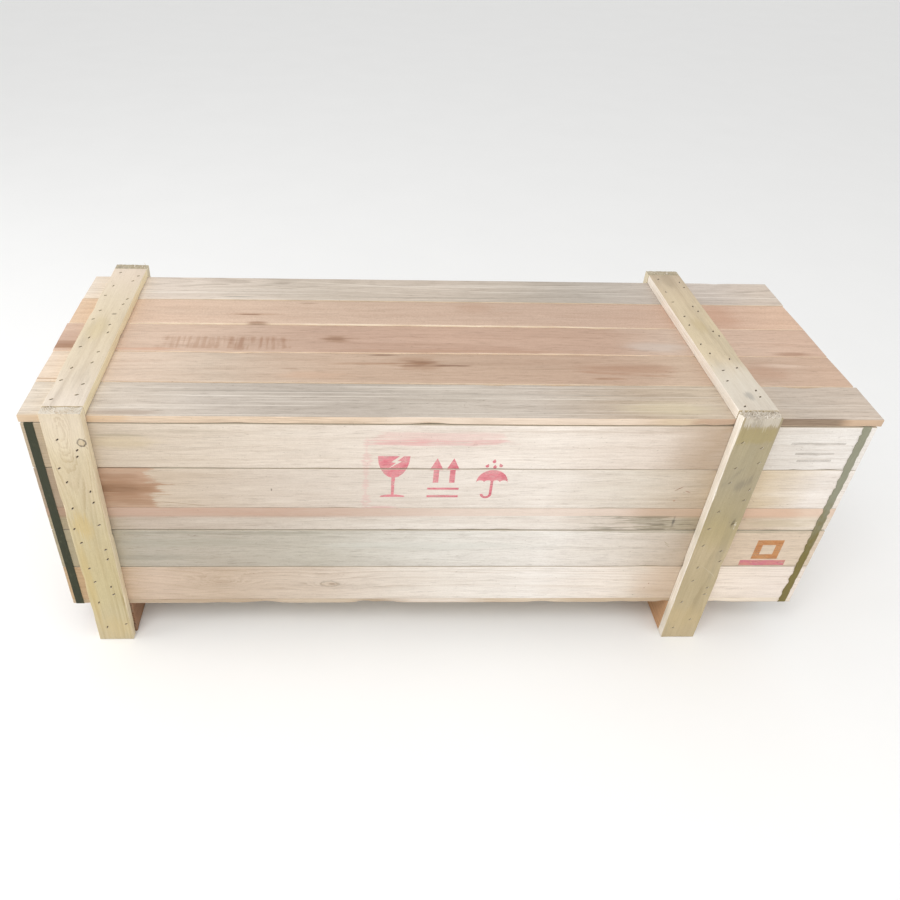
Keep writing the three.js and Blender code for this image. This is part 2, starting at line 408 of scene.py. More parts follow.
# A knot: a paler core in a dark ring of bark, and the growth rings that bend round it.
knot, given, result = new_group("knot", [
    ("Vector", "vector", (0, 0, 0)), ("Along", "value", 0.0), ("Across", "value", 0.0),
    ("Radius", "value", 0.01), ("Stretch", "value", 1.3)], ["Core", "Bark", "Swell"])
g = knot
place = split(g, given["Vector"])
bent = times(g, minus(g, noisy(g, scaled(g, given["Vector"], (90, 90, 90))), 0.5), 0.9)
long_radius = times(g, given["Radius"], given["Stretch"])
dx = calc(g, "DIVIDE", minus(g, place["X"], given["Along"]), long_radius)
dy = calc(g, "DIVIDE", minus(g, place["Y"], given["Across"]), given["Radius"])
away = calc(g, "SQRT", plus(g, times(g, dx, dx), times(g, dy, dy)))
away = plus(g, away, bent)
g.links.new(remap(g, away, 0.8, 1.0, 1.0, 0.0), result["Core"])
bark_inside = remap(g, away, 0.66, 0.86)
bark_outside = remap(g, away, 0.98, 1.2, 1.0, 0.0)
g.links.new(times(g, bark_inside, bark_outside), result["Bark"])
spread = plus(g, times(g, times(g, away, away), 0.22), 1.0)
g.links.new(calc(g, "DIVIDE", times(g, given["Radius"], 2.2), spread), result["Swell"])

# A stain, a scratch, a sprayed patch or a patch of painted shade, with an edge that runs out along
# the fibres. Bars breaks it up into lines across the grain, as the rollers of a planing machine
# leave. Round is 1 for an oval patch and 0 for one with square corners.
patch, given, result = new_group("patch", [
    ("Vector", "vector", (0, 0, 0)), ("Along", "value", 0.0), ("Across", "value", 0.0),
    ("Half Length", "value", 0.05), ("Half Width", "value", 0.02), ("Ragged", "value", 0.02),
    ("Softness", "value", 0.01), ("Slant", "value", 0.0), ("Bars", "value", 0.0),
    ("Round", "value", 1.0)], ["Mask"])
g = patch
place = split(g, given["Vector"])
run_out = minus(g, noisy(g, scaled(g, given["Vector"], (9, 330, 330)), 3.0, 0.6), 0.5)
cloud = minus(g, noisy(g, scaled(g, given["Vector"], (16, 40, 40)), 2.0), 0.5)
run_out = plus(g, run_out, times(g, cloud, 0.7))
from_middle = minus(g, place["X"], given["Along"])
ragged_along = times(g, given["Ragged"], 3.5)
off_x = plus(g, calc(g, "ABSOLUTE", from_middle), times(g, run_out, ragged_along))
off_y = minus(g, minus(g, place["Y"], given["Across"]), times(g, from_middle, given["Slant"]))
ragged_across = times(g, given["Ragged"], 0.35)
off_y = plus(g, calc(g, "ABSOLUTE", off_y), times(g, run_out, ragged_across))
x_limit = plus(g, given["Half Length"], given["Softness"])
in_x = remap(g, off_x, given["Half Length"], x_limit, 1.0, 0.0)
side_softness = calc(g, "MINIMUM", times(g, given["Softness"], 0.5), given["Half Width"])
y_limit = plus(g, given["Half Width"], side_softness)
in_y = remap(g, off_y, given["Half Width"], y_limit, 1.0, 0.0)
box_mask = times(g, in_x, in_y)
part_x = calc(g, "DIVIDE", off_x, given["Half Length"])
part_y = calc(g, "DIVIDE", off_y, given["Half Width"])
off_round = calc(g, "SQRT", plus(g, times(g, part_x, part_x), times(g, part_y, part_y)))
round_limit = plus(g, 1.0, calc(g, "DIVIDE", given["Softness"], given["Half Length"]))
round_mask = remap(g, off_round, 0.6, round_limit, 1.0, 0.0)
mask = plus(g, box_mask, times(g, given["Round"], minus(g, round_mask, box_mask)))
bar_noise = noisy(g, scaled(g, given["Vector"], (80, 9, 9)), 2.0)
bars = remap(g, bar_noise, 0.38, 0.62)
bars = plus(g, 1.0, times(g, given["Bars"], minus(g, bars, 1.0)))
g.links.new(times(g, mask, bars), result["Mask"])

# Marks of the saw and of handling: faint bands across the grain, grime in clouds, dents.
saw_and_grime, given, result = new_group("saw_and_grime", [
    ("Vector", "vector", (0, 0, 0)), ("Seed", "value", 0.0), ("Saw Pitch", "value", 0.004)],
    ["Saw", "Grime", "Dents"])
g = saw_and_grime
place = split(g, given["Vector"])
bow = times(g, times(g, place["Y"], place["Y"]), 3.0)
travel = plus(g, plus(g, place["X"], bow), times(g, place["Y"], 0.12))
tooth = calc(g, "SINE", calc(g, "DIVIDE", times(g, travel, math.tau), given["Saw Pitch"]))
patchy = remap(g, noisy(g, seeded(g, given["Vector"], given["Seed"], (6.0, 14.0, 14.0))), 0.4, 0.7)
g.links.new(times(g, tooth, patchy), result["Saw"])
clouds = noisy(g, seeded(g, given["Vector"], given["Seed"], (6.0, 30.0, 30.0)), 5.0, 0.65)
g.links.new(remap(g, clouds, 0.48, 0.75), result["Grime"])
specks = noisy(g, seeded(g, given["Vector"], given["Seed"], (120.0, 330.0, 330.0)), 1.0)
g.links.new(remap(g, specks, 0.74, 0.8), result["Dents"])

# Where the piece is cut: across the grain at its ends and along its narrow edges.
cut_faces, given, result = new_group("cut_faces", [("Normal", "vector", (0, 0, 1))],
                                     ["End", "Edge"])
g = cut_faces
facing = split(g, given["Normal"])
g.links.new(remap(g, calc(g, "ABSOLUTE", facing["X"]), 0.6, 0.9), result["End"])
g.links.new(remap(g, calc(g, "ABSOLUTE", facing["Y"]), 0.55, 0.85), result["Edge"])


def length_tone(tree, where, half_length, stops):
    """The colour along a piece: the wood's own tone and, on the front wall boards, painted light
    and shade as well. A stop is (part of the length from the low end, colour)."""
    drift = minus(tree, noisy(tree, scaled(tree, where, (5.0, 25.0, 25.0)), 3.0), 0.5)
    drift = times(tree, drift, 0.07)
    part = plus(tree, times(tree, split(tree, where)["X"], 0.5 / half_length), 0.5)
    ramp = tree.nodes.new("ShaderNodeValToRGB")
    ramp.color_ramp.elements[0].position = stops[0][0]
    ramp.color_ramp.elements[0].color = colour(stops[0][1])
    ramp.color_ramp.elements[1].position = stops[-1][0]
    ramp.color_ramp.elements[1].color = colour(stops[-1][1])
    for position, shade in stops[1:-1]:
        ramp.color_ramp.elements.new(position).color = colour(shade)
    tree.links.new(plus(tree, part, drift), ramp.inputs["Fac"])
    return ramp.outputs["Color"]


def mark(along, across, half_length, half_width, shade, strength, ragged=0.02, soft=0.02, slant=0.0,
         bars=0.0, rounded=1.0):
    """A stain, a scratch or a patch of painted shade or light in a piece's own axes, for
    timber_finish. rounded is 1 for an oval one and 0 for one with square corners; bars breaks it
    into lines across the grain."""
    spot = dict(Along=along, Across=across, Half_Length=half_length, Half_Width=half_width,
                Ragged=ragged, Softness=soft, Slant=slant, Bars=bars, Round=rounded)
    return spot, shade, strength


def stripe(across, half_width, ragged, spots):
    """Marks with square corners in a row along one line. A spot is (along, half length,
    colour, strength, softness)."""
    return [mark(along, across, half_length, half_width, shade, strength,
                 ragged=ragged, soft=soft, rounded=0.0)
            for along, half_length, shade, strength, soft in spots]


def timber_finish(name, seed, half, tones, edge, end, late="b8a188", pith=(0.01, 0.12), ring=0.0045,
                  taper=0.006, rings=0.15, streaks=0.16, dashes=0.26, gleam=0.0, fuzz=0.2,
                  fibres=0.32, grey=0.1, grime="857c70", knots=(), marks=(), bump=0.5):
    """Sawn wood. tones are the stops of its colour along its length, late tints its growth
    rings, and edge and end colour its narrow and cross-cut faces. Knots are (along, across,
    radius, stretch, darkness). One with no darkness isn't drawn, but still bends the rings
    round it; a negative radius bends them the other way. Marks never show on the back."""
    material, tree, shader = new_material(name)
    source = coordinates(tree)
    where = source.outputs["Object"]
    swell = 0.0
    found = []
    for along, across, radius, stretch, darkness in knots:
        one = place_group(tree, knot, Vector=where, Along=along, Across=across, Radius=radius,
                          Stretch=stretch)
        swell = plus(tree, swell, one["Swell"])
        found.append((one, darkness))
    wood = place_group(tree, growth_rings, Vector=where, Seed=seed, Pith_Across=pith[0],
                       Pith_Depth=pith[1], Ring_Width=ring, Taper=taper, Swell=swell)
    wear = place_group(tree, saw_and_grime, Vector=where, Seed=seed)
    cuts = place_group(tree, cut_faces, Normal=source.outputs["Normal"])
    line = remap(tree, wood["Fibre"], 0.3, 0.7)
    furrow = minus(tree, 1.0, line)
    tone = length_tone(tree, where, half[0], tones)
    streak = remap(tree, wood["Streak"], 0.36, 0.66)
    tone = blend(tree, times(tree, streak, streaks), tone, colour("d6cfc8"), "MULTIPLY")
    tone = blend(tree, times(tree, wood["Latewood"], rings), tone, colour(late), "MULTIPLY")
    tone = blend(tree, times(tree, furrow, fibres), tone, colour("d3ccc5"), "MULTIPLY")
    tone = blend(tree, times(tree, wood["Fuzz"], fuzz), tone, colour("dfdad4"), "MULTIPLY")
    tone = blend(tree, times(tree, wood["Dash"], dashes), tone, colour("a8a099"), "MULTIPLY")
    tone = blend(tree, times(tree, wood["Gleam"], gleam), tone, colour("f3ebdf"))
    tone = blend(tree, times(tree, wear["Grime"], grey), tone, colour(grime))
    for one, darkness in found:
        tone = blend(tree, times(tree, one["Core"], 0.5 * darkness), tone, colour("b39a70"))
        tone = blend(tree, times(tree, one["Bark"], 0.95 * darkness), tone, colour("4f412e"))
    edge_tone = blend(tree, times(tree, furrow, 0.4), colour(edge), colour(late), "MULTIPLY")
    tone = blend(tree, cuts["Edge"], tone, edge_tone)
    end_tone = blend(tree, wood["Latewood"], colour(end), colour(late), "MULTIPLY")
    end_tone = blend(tree, times(tree, wear["Grime"], 0.6), end_tone, colour("8d867a"))
    tone = blend(tree, cuts["End"], tone, end_tone)
    off_back = remap(tree, split(tree, where)["Z"], 0.0003 - half[2], 0.003 - half[2])
    held = times(tree, plus(tree, times(tree, line, 0.35), 0.65), off_back)
    for spot, shade, strength in marks:
        mask = place_group(tree, patch, Vector=where, **spot)["Mask"]
        tone = blend(tree, times(tree, times(tree, mask, held), strength), tone, colour(shade))
    tone = blend(tree, times(tree, wear["Dents"], 0.4), tone, colour("75624c"))
    tree.links.new(tone, shader.inputs["Base Color"])
    tree.links.new(remap(tree, wood["Fibre"], 0.2, 0.8, 0.9, 0.7), shader.inputs["Roughness"])
    relief = plus(tree, times(tree, wood["Latewood"], 0.3), times(tree, wood["Fibre"], 0.7))
    relief = plus(tree, relief, times(tree, wear["Saw"], 0.12))
    relief = minus(tree, relief, times(tree, wood["Dash"], 0.25))
    relief = minus(tree, relief, times(tree, wear["Dents"], 0.6))
    bumped = tree.nodes.new("ShaderNodeBump")
    bumped.inputs["Strength"].default_value = bump
    bumped.inputs["Distance"].default_value = 0.0008
    tree.links.new(relief, bumped.inputs["Height"])
    tree.links.new(bumped.outputs["Normal"], shader.inputs["Normal"])
    shader.inputs["Specular IOR Level"].default_value = 0.3
    return material


def dress(piece, material, body):
    """Gives a piece its finish and makes it ride on its body."""
    piece.data.materials.append(material)
    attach(piece, body)


# ------------------------------------------------------------------ bearers
# Two baulks of reddish hardwood offcut across the crate, rough from the saw. The floor and
# the feet of the upright battens are nailed to them, and forks go in between them.

# The left bearer's darker browns are painted shade; the right one's lighter browns show the same
# wood lit.
bearer_wood_and_shade = {"left": ("a07b60", "8e6b52"), "right": ("cfa47c", "bd9068")}
for order, (side, (face_tone, end_tone)) in enumerate(bearer_wood_and_shade.items()):
    piece, half = sawn_timber(f"bearer_{side}_baulk", f"bearer_{side}", "y", "+z", 11 + order,
                              ease=0.003, wander=0.0008, chips=9, chip_depth=0.004)
    finish = timber_finish(f"bearer_{side}_wood", 3.0 + order, half,
                           [(0.0, face_tone), (1.0, end_tone)], face_tone, end_tone,
                           late="8d6848", pith=(0.02, 0.07), ring=0.007, grey=0.3)
    dress(piece, finish, "crate_body")

# ------------------------------------------------------------------ floor boards
# Five thin boards along the crate, nailed down on the bearers. Only their front edge shows
# below the front wall, rough from the saw, with splinters torn out of it. Along that edge,
# stains and painted light and shade make it darker or paler in places.

# Tones along the front edge are partly stains and partly painted light and shade that follow the
# front wall: darker towards the left end and just left of the right-hand upright, paler in the
# middle and at the right end.
floor_edge_stains_and_shade = [(along, reach, shade, 0.65, 0.1) for along, reach, shade in (
    (-0.63, 0.18, "a68d73"), (-0.87, 0.03, "a88e66"), (-0.30, 0.06, "c6b49f"),
    (0.0, 0.05, "ece2d8"), (0.41, 0.05, "bba487"), (0.57, 0.03, "a98e6f"), (0.80, 0.1, "f9eddd"))]
for order in range(1, 6):
    outermost = order in (1, 5)
    node = f"floor_board_{order}"
    piece, half = sawn_timber(f"{node}_plank", node, "x", "+z", 20 + order,
                              step=0.007 if outermost else 0.02, ease=0.001,
                              chips=46 if outermost else 8, chip_depth=0.003)
    edge_marks = []
    if outermost:
        side = -1 if order == 1 else 1
        rng = random.Random(210 + order)
        for _ in range(9):
            shade = rng.choice(("8c7358", "9c8268", "e6d6be"))
            edge_marks.append(mark(rng.uniform(-0.85, 0.85), side * half[1],
                                   rng.uniform(0.03, 0.1), 0.004, shade, 0.35,
                                   ragged=0.03, soft=0.05))
        edge_marks += stripe(side * half[1], 0.004, 0.03, floor_edge_stains_and_shade)
    finish = timber_finish(f"{node}_wood", 20.0 + order, half,
                           [(0.0, "e0d0b8"), (1.0, "dccbb0")], "dac9b3", "cdb596", late="a88d6e",
                           pith=(0.01 * order - 0.03, 0.1), grey=0.5, dashes=0.8,
                           marks=edge_marks, bump=0.9)
    dress(piece, finish, "crate_body")

# ------------------------------------------------------------------ front wall
# Five boards along the crate, nailed to the uprights and to posts inside the corners. Each
# came from a different tree: two cream ones, a narrow one with a band of pink heartwood, a
# blue-grey one, and a pinkish one at the foot. Numbers run from the bottom board up.

pink_overspray = "dc9396"
# Along each board the tones are partly the wood and partly painted light and shade: darker towards
# the left end, brightest a little right of the middle, a brown painted shadow just left of the
# right-hand upright at 0.815, and paler again at the right end.
front_wood_and_shade = {
    5: dict(tones=[(0.02, "bfae95"), (0.1, "d7c8b5"), (0.3, "e8dcce"), (0.5, "f4eae0"),
                   (0.62, "faf1e7"), (0.74, "e9dccf"), (0.815, "c8b5a0"), (0.88, "e6dfd6"),
                   (0.96, "f7f2ec")],
            trims=((0.0012, -0.0003), (0, 0)),
            marks=[mark(-0.70, 0.012, 0.04, 0.012, "cdb98e", 0.4, soft=0.06),
                   mark(-0.70, 0.03, 0.06, 0.003, "9b8f7c", 0.55, ragged=0.03, soft=0.05),
                   mark(-0.60, 0.041, 0.08, 0.002, "a89b88", 0.4, ragged=0.03, soft=0.1),
                   mark(-0.04, 0.011, 0.12, 0.003, pink_overspray, 0.34,
                        ragged=0.05, soft=0.02, rounded=0.0),
                   mark(-0.11, 0.014, 0.045, 0.006, pink_overspray, 0.3,
                        ragged=0.05, soft=0.02, rounded=0.0),
                   mark(0.0, 0.018, 0.10, 0.003, pink_overspray, 0.3,
                        ragged=0.05, soft=0.02, rounded=0.0),
                   mark(-0.03, 0.026, 0.11, 0.010, "e2b0aa", 0.4,
                        ragged=0.06, soft=0.03, rounded=0.0),
                   mark(-0.187, -0.03, 0.004, 0.04, pink_overspray, 0.3, ragged=0.01, soft=0.004),
                   mark(0.25, 0.045, 0.2, 0.002, "bba792", 0.4, ragged=0.03, soft=0.15),
                   # Painted shadow: a soft brown across the whole board just left of the right-hand
                   # upright.
                   mark(0.55, -0.01, 0.03, 0.1, "b59a80", 0.35, soft=0.06)]),
    4: dict(tones=[(0.02, "b09d87"), (0.12, "d6c5b0"), (0.2, "d6c7b6"), (0.32, "dfd3c6"),
                   (0.5, "ede4da"), (0.63, "f6eee5"), (0.73, "e4dacc"), (0.815, "c9b7a0"),
                   (0.89, "dfcdb1"), (0.96, "f8f0e8")],
            taper=0.009, trims=((-0.0005, -0.0005), (0.0010, -0.0003)),
            marks=[mark(-0.725, 0.0, 0.064, 0.08, "b9977e", 0.97,
                        ragged=0.022, soft=0.006, rounded=0.0),
                   mark(-0.70, 0.008, 0.058, 0.026, "bb9a82", 0.8,
                        ragged=0.04, soft=0.006, rounded=0.0),
                   mark(-0.72, -0.004, 0.06, 0.030, "9c7658", 0.75, ragged=0.03, soft=0.04),
                   mark(-0.725, -0.002, 0.045, 0.010, "7d5b40", 0.6, ragged=0.03, soft=0.05),
                   mark(-0.665, 0.0, 0.02, 0.022, "a88468", 0.6, ragged=0.05, soft=0.02),
                   mark(-0.74, 0.034, 0.05, 0.006, "a07d62", 0.6, ragged=0.03, soft=0.04),
                   mark(-0.70, -0.042, 0.04, 0.006, "a07d62", 0.6, ragged=0.03, soft=0.04),
                   mark(-0.597, -0.0455, 0.055, 0.0007, "94795f", 0.8,
                        ragged=0.0, soft=0.02, slant=-0.134),
                   mark(-0.395, -0.0035, 0.001, 0.0026, "54483c", 0.95, ragged=0.0, soft=0.001),
                   mark(-0.187, 0.0, 0.004, 0.05, pink_overspray, 0.3, ragged=0.01, soft=0.004),
                   mark(-0.15, -0.056, 0.02, 0.003, pink_overspray, 0.5, ragged=0.02, soft=0.02),
                   mark(0.517, 0.003, 0.008, 0.002, "93705c", 0.85,
                        ragged=0.003, soft=0.003, slant=0.7),
                   mark(0.539, -0.007, 0.006, 0.0014, "9a7160", 0.85,
                        ragged=0.003, soft=0.003, slant=-0.35),
                   mark(0.514, -0.034, 0.002, 0.002, "a57b66", 0.7, ragged=0.0, soft=0.002)]),
    3: dict(tones=[(0.02, "b0a388"), (0.12, "cabcad"), (0.3, "d5cabd"), (0.5, "f0e9e0"),
                   (0.64, "f2eae1"), (0.73, "ded2c4"), (0.815, "b8ab94"), (0.89, "d6c2aa"),
                   (0.96, "ecdfce")],
            taper=0.003, trims=((0.0009, 0.0009), (-0.0005, -0.0005)),
            marks=[mark(0.0, 0.0228, 1.0, 0.0112, "dfc4b2", 0.55,
                        ragged=0.008, soft=0.002, rounded=0.0),
                   *stripe(0.0228, 0.0112, 0.01, [
                       (-0.62, 0.25, "b28c76", 0.65, 0.6), (-0.88, 0.02, "8f7965", 0.5, 0.02),
                       # The spot at 0.52 in the band is a painted shadow just left of the
                       # right-hand upright.
                       (0.74, 0.05, "c39c80", 0.6, 0.05), (0.52, 0.04, "b79678", 0.6, 0.1),
                       (0.80, 0.06, "e4bfa4", 0.4, 0.1)]),
                   mark(0.52, -0.008, 0.09, 0.011, "948a72", 0.45, ragged=0.14, soft=0.05),
                   mark(0.45, 0.004, 0.10, 0.0012, "6f654f", 0.65, ragged=0.05, soft=0.04),
                   mark(0.50, -0.003, 0.08, 0.0012, "6f654f", 0.6, ragged=0.05, soft=0.04),
                   mark(0.47, -0.010, 0.11, 0.0010, "7d735d", 0.6, ragged=0.05, soft=0.04),
                   mark(0.52, -0.016, 0.07, 0.0014, "5f5745", 0.65, ragged=0.05, soft=0.04),
                   mark(0.46, -0.025, 0.13, 0.0025, "857b62", 0.6, ragged=0.08, soft=0.05),
                   mark(0.48, -0.030, 0.14, 0.0012, "5f5745", 0.55, ragged=0.05, soft=0.05),
                   mark(0.43, 0.009, 0.12, 0.0012, "7d7560", 0.6, ragged=0.04, soft=0.06),
                   mark(0.529, -0.006, 0.003, 0.011, "56504a", 0.85, ragged=0.004, soft=0.003),
                   mark(0.78, -0.012, 0.06, 0.01, "b7a684", 0.45, ragged=0.04, soft=0.05)]),
    2: dict(tones=[(0.02, "b1a68b"), (0.12, "beb6a8"), (0.2, "bfb6a8"), (0.33, "c9c3b6"),
                   (0.5, "e6e2da"), (0.64, "f4efe8"), (0.73, "e8dfd4"), (0.815, "c8b8a5"),
                   (0.89, "dfcbb4"), (0.96, "e4d2bd")],
            late="a5a092", taper=0.002, grey=0.14, dashes=0.4,
            trims=((0.0004, 0.0004), (0.0009, 0.0009)),
            marks=[mark(-0.69, -0.029, 0.08, 0.006, "a09a8c", 0.65, ragged=0.03, soft=0.1),
                   mark(-0.60, 0.02, 0.12, 0.010, "aaa596", 0.5, ragged=0.04, soft=0.15),
                   mark(-0.52, 0.052, 0.2, 0.003, "969080", 0.6, ragged=0.04, soft=0.2),
                   mark(-0.26, 0.04, 0.03, 0.0014, "877e70", 0.6, ragged=0.01, soft=0.02),
                   mark(-0.05, 0.01, 0.2, 0.012, "cfcfc6", 0.4, ragged=0.04, soft=0.1),
                   mark(0.60, 0.057, 0.3, 0.003, "8f8a72", 0.55, ragged=0.03, soft=0.08),
                   mark(0.530, 0.019, 0.007, 0.0007, "85744a", 0.85,
                        ragged=0.0, soft=0.002, slant=-0.9),
                   mark(0.534, 0.011, 0.007, 0.0007, "85744a", 0.85,
                        ragged=0.0, soft=0.002, slant=-0.9)]),
    1: dict(tones=[(0.02, "c7aa86"), (0.12, "d9c4b0"), (0.2, "cebaa5"), (0.33, "dccdbd"),
                   (0.5, "f1e9df"), (0.64, "faf4ed"), (0.73, "f7ede2"), (0.815, "dccdba"),
                   (0.89, "faeddf"), (0.96, "f7ebe0")],
            rings=0.28, taper=0.012, trims=((0, 0), (0.0004, 0.0002)),
            knots=[(-0.531, 0.006, 0.012, 2.6, 0.0), (-0.269, -0.003, 0.010, 2.4, 0.25)],
            marks=[mark(-0.531, 0.006, 0.012, 0.004, "a88f78", 0.5, ragged=0.01, soft=0.02),
                   mark(-0.262, -0.003, 0.006, 0.0022, "8f7662", 0.75, ragged=0.004, soft=0.006),
                   mark(-0.20, 0.02, 0.05, 0.001, "ad9682", 0.5, ragged=0.01, soft=0.03, slant=0.1),
                   mark(0.521, -0.003, 0.0012, 0.0018, "8a5a48", 0.85, ragged=0.0, soft=0.001),
                   mark(0.513, -0.019, 0.0012, 0.0015, "8a5a48", 0.7, ragged=0.0, soft=0.001),
                   # Painted shadow: a soft brown across the whole board just left of the right-hand
                   # upright.
                   mark(0.55, 0.0, 0.03, 0.06, "c4a283", 0.4, soft=0.06)]),
}
wall_planks = {}
for order, wood in front_wood_and_shade.items():
    wood = dict(wood)
    trims = wood.pop("trims")
    node = f"front_board_{order}"
    piece, half = sawn_timber(f"{node}_plank", node, "x", "-y", 30 + order,
                              ease=0.0009, chips=6, chip_depth=0.0015, trims=trims)
    finish = timber_finish(f"{node}_wood", 30.0 + order, half, edge="cdc3b0", end="d9c6a8",
                           pith=(0.03 * (order - 3), 0.16), **wood)
    dress(piece, finish, "crate_body")
    wall_planks[order] = piece

# ------------------------------------------------------------------ rear and end walls
# The rear wall is made as the front one. The end boards are shorter, fit between the long
# walls and are nailed to the corner posts.

plain_woods = [
    dict(tones=[(0.0, "e2d3bd"), (0.45, "efe4d4"), (1.0, "dfcfb8")], edge="c9b699", taper=0.006),
    dict(tones=[(0.0, "cfc7ba"), (0.6, "dfd9ce"), (1.0, "c9bfb0")], edge="b9ac98", taper=0.012),
    dict(tones=[(0.0, "dcc0a8"), (0.35, "e8d2bf"), (1.0, "d9bba2")], edge="c4a688", taper=0.009),
    dict(tones=[(0.0, "ecdfcb"), (0.7, "e4d4bc"), (1.0, "efe5d6")], edge="cdb999", taper=0.015),
]
walls = {"rear": ("x", "+y", 68, 0), "left_end": ("y", "-x", 96, 0),
         "right_end": ("y", "+x", 103, 1)}
for wall, (grain, face, first_seed, first_wood) in walls.items():
    for order in range(1, 6):
        seed = first_seed + order
        rng = random.Random(seed)
        node = f"{wall}_board_{order}"
        piece, half = sawn_timber(f"{node}_plank", node, grain, face, seed,
                                  ease=0.0012, chips=6, chip_depth=0.0015,
                                  trims=((0.0008, 0.0003), (0.0003, 0.0008)))
        wood = plain_woods[(order + first_wood) % len(plain_woods)]
        knots = [(rng.uniform(-0.8, 0.8) * half[0], rng.uniform(-0.6, 0.6) * half[1],
                  rng.uniform(0.004, 0.014), rng.uniform(1.0, 2.0), rng.uniform(0.3, 1.0))
                 for _ in range(rng.choice((0, 1, 2)))]
        stains = []
        for _ in range(3):
            shade = rng.choice(("a98f76", "93897a", "b98f78"))
            stains.append(mark(rng.uniform(-0.8, 0.8) * half[0], rng.uniform(-0.6, 0.6) * half[1],
                               rng.uniform(0.03, 0.12), rng.uniform(0.003, 0.012), shade, 0.5,
                               ragged=0.04, soft=0.05))
        finish = timber_finish(f"{node}_wood", float(seed), half, end="d9c6a8",
                               pith=(rng.uniform(-0.05, 0.05), rng.uniform(0.08, 0.2)),
                               knots=knots, marks=stains, dashes=0.5, **wood)
        dress(piece, finish, "crate_body")

# ------------------------------------------------------------------ corner posts and rails
# Square posts stand inside the corners, and a rail joins each pair along the wall's top
# edge. They are hidden until the lid is off.

posts = [f"corner_post_{wall}_{side}" for wall in ("front", "rear") for side in ("left", "right")]
inside_pieces = {name: ("z", "-y") for name in posts}
inside_pieces.update({"end_rail_left": ("y", "+x"), "end_rail_right": ("y", "-x")})
for order, (node, (grain, face)) in enumerate(inside_pieces.items()):
    piece, half = sawn_timber(f"{node}_timber", node, grain, face, 80 + order, ease=0.0015, chips=4)
    finish = timber_finish(f"{node}_wood", 80.0 + order, half,
                           [(0.0, "e0d2ab"), (1.0, "e9ddbd")], "e8dab4", "d6c190",
                           late="b59c6c", pith=(0.01, 0.05), taper=0.01)
    dress(piece, finish, "crate_body")

# ------------------------------------------------------------------ battens
# Straw-yellow battens: four uprights from the ground to the top of the lid's battens, and
# two across the lid between them. Their faces have yellowed and their narrow edges are
# fresh from the saw. Each is nailed with T-headed nails, shot in aslant and sunk a little.


def slot_outline(length, width):
    """A slot with round ends in its own plane, counter-clockwise."""
    points = []
    steps = 5
    for end in (1, -1):
        for i in range(steps + 1):
            angle = -end * math.pi / 2 + math.pi * i / steps
            points.append((end * (length - width) / 2 + width / 2 * math.cos(angle),
                           width / 2 * math.sin(angle)))
    return points


def slots(name, places, length, width, bottom, top, flare=1.0):
    """One mesh of upright slot-shaped plugs. A place is (x, y, angle)."""
    outline = slot_outline(length, width)
    count = len(outline)
    verts, faces = [], []
    for x, y, angle in places:
        start = len(verts)
        cosine, sine = math.cos(angle), math.sin(angle)
        for z, grow in ((bottom, 1.0), (top, flare)):
            verts.extend((x + grow * (cosine * u - sine * v), y + grow * (sine * u + cosine * v), z)
                         for u, v in outline)
        faces.append([start + i for i in reversed(range(count))])
        faces.append([start + count + i for i in range(count)])
        for i in range(count):
            j = (i + 1) % count
            faces.append((start + i, start + j, start + count + j, start + count + i))
    mesh = bpy.data.meshes.new(name)
    mesh.from_pydata(verts, [], faces)
    return mesh


def nail_finish(name, steel, rusty):
    """Dull wire steel, rusting in spots."""
    material, tree, shader = new_material(name)
    rust = noisy(tree, scaled(tree, coordinates(tree).outputs["Object"], (900, 900, 900)), 3.0)
    tone = blend(tree, remap(tree, rust, 0.35, 0.65), colour(steel), colour(rusty))
    tree.links.new(tone, shader.inputs["Base Color"])
    tree.links.new(remap(tree, rust, 0.3, 0.7, 0.5, 0.8), shader.inputs["Roughness"])
    shader.inputs["Metallic"].default_value = 0.4
    return material


nail_steel = nail_finish("nail_steel", "3e3831", "5e4a38")
dusty_steel = nail_finish("nail_steel_dusty", "8f8464", "7a6a4c")

NAIL_HEAD = (0.0072, 0.0026)
NAIL_THICKNESS = 0.0006
NAIL_SINK = 0.0012
NAIL_SLANT = math.radians(-50)
NARROW_BOARD = 0.09


def shoot_nails(piece, half, places, rng, body, steel):
    """Cuts the nail holes in a piece's face and sets a sunken T-head in each."""
    turned = [(x, y, rng.gauss(NAIL_SLANT, 0.25)) for x, y in places]
    hole_mesh = slots("nail_holes", turned, NAIL_HEAD[0] * 1.15, NAIL_HEAD[1] * 1.4,
                      half[2] - NAIL_SINK - NAIL_THICKNESS, half[2] + 0.003, flare=1.15)
    holes = bpy.data.objects.new("nail_holes", hole_mesh)
    scene.collection.objects.link(holes)
    holes.matrix_world = piece.matrix_world
    cut = piece.modifiers.new("nail_holes", "BOOLEAN")
    cut.object = holes
    cut.operation = "DIFFERENCE"
    cut.solver = "EXACT"
    bpy.context.view_layer.update()
    shaped = piece.evaluated_get(bpy.context.evaluated_depsgraph_get())
    mesh = bpy.data.meshes.new_from_object(shaped)
    mesh.set_sharp_from_angle(angle=math.radians(55))
    piece.modifiers.clear()
    piece.data = mesh
    bpy.data.objects.remove(holes)
    head_mesh = slots(f"{piece.name}_nails", turned, *NAIL_HEAD,
                      half[2] - NAIL_SINK - NAIL_THICKNESS, half[2] - NAIL_SINK * 0.6, 0.9)
    heads = bpy.data.objects.new(f"{piece.name}_nails", head_mesh)
    scene.collection.objects.link(heads)
    heads.matrix_world = piece.matrix_world
    dress(heads, steel, body)


def nail_rows(spans, reach, rng):
    """Two nails a row, set zigzag, with two rows to each board that the batten crosses and
    one to a narrow board."""
    places = []
    for low, high in spans:
        rows = (0.27, 0.73) if high - low > NARROW_BOARD else (0.5,)
        for n, row in enumerate(rows):
            along = low + (high - low) * row
            for side in (-1, 1):
                lean = 0.012 * side * (1 if n % 2 else -1)
                places.append((along + lean + rng.uniform(-0.008, 0.008),
                               side * reach * rng.uniform(0.35, 0.75)))
    return places


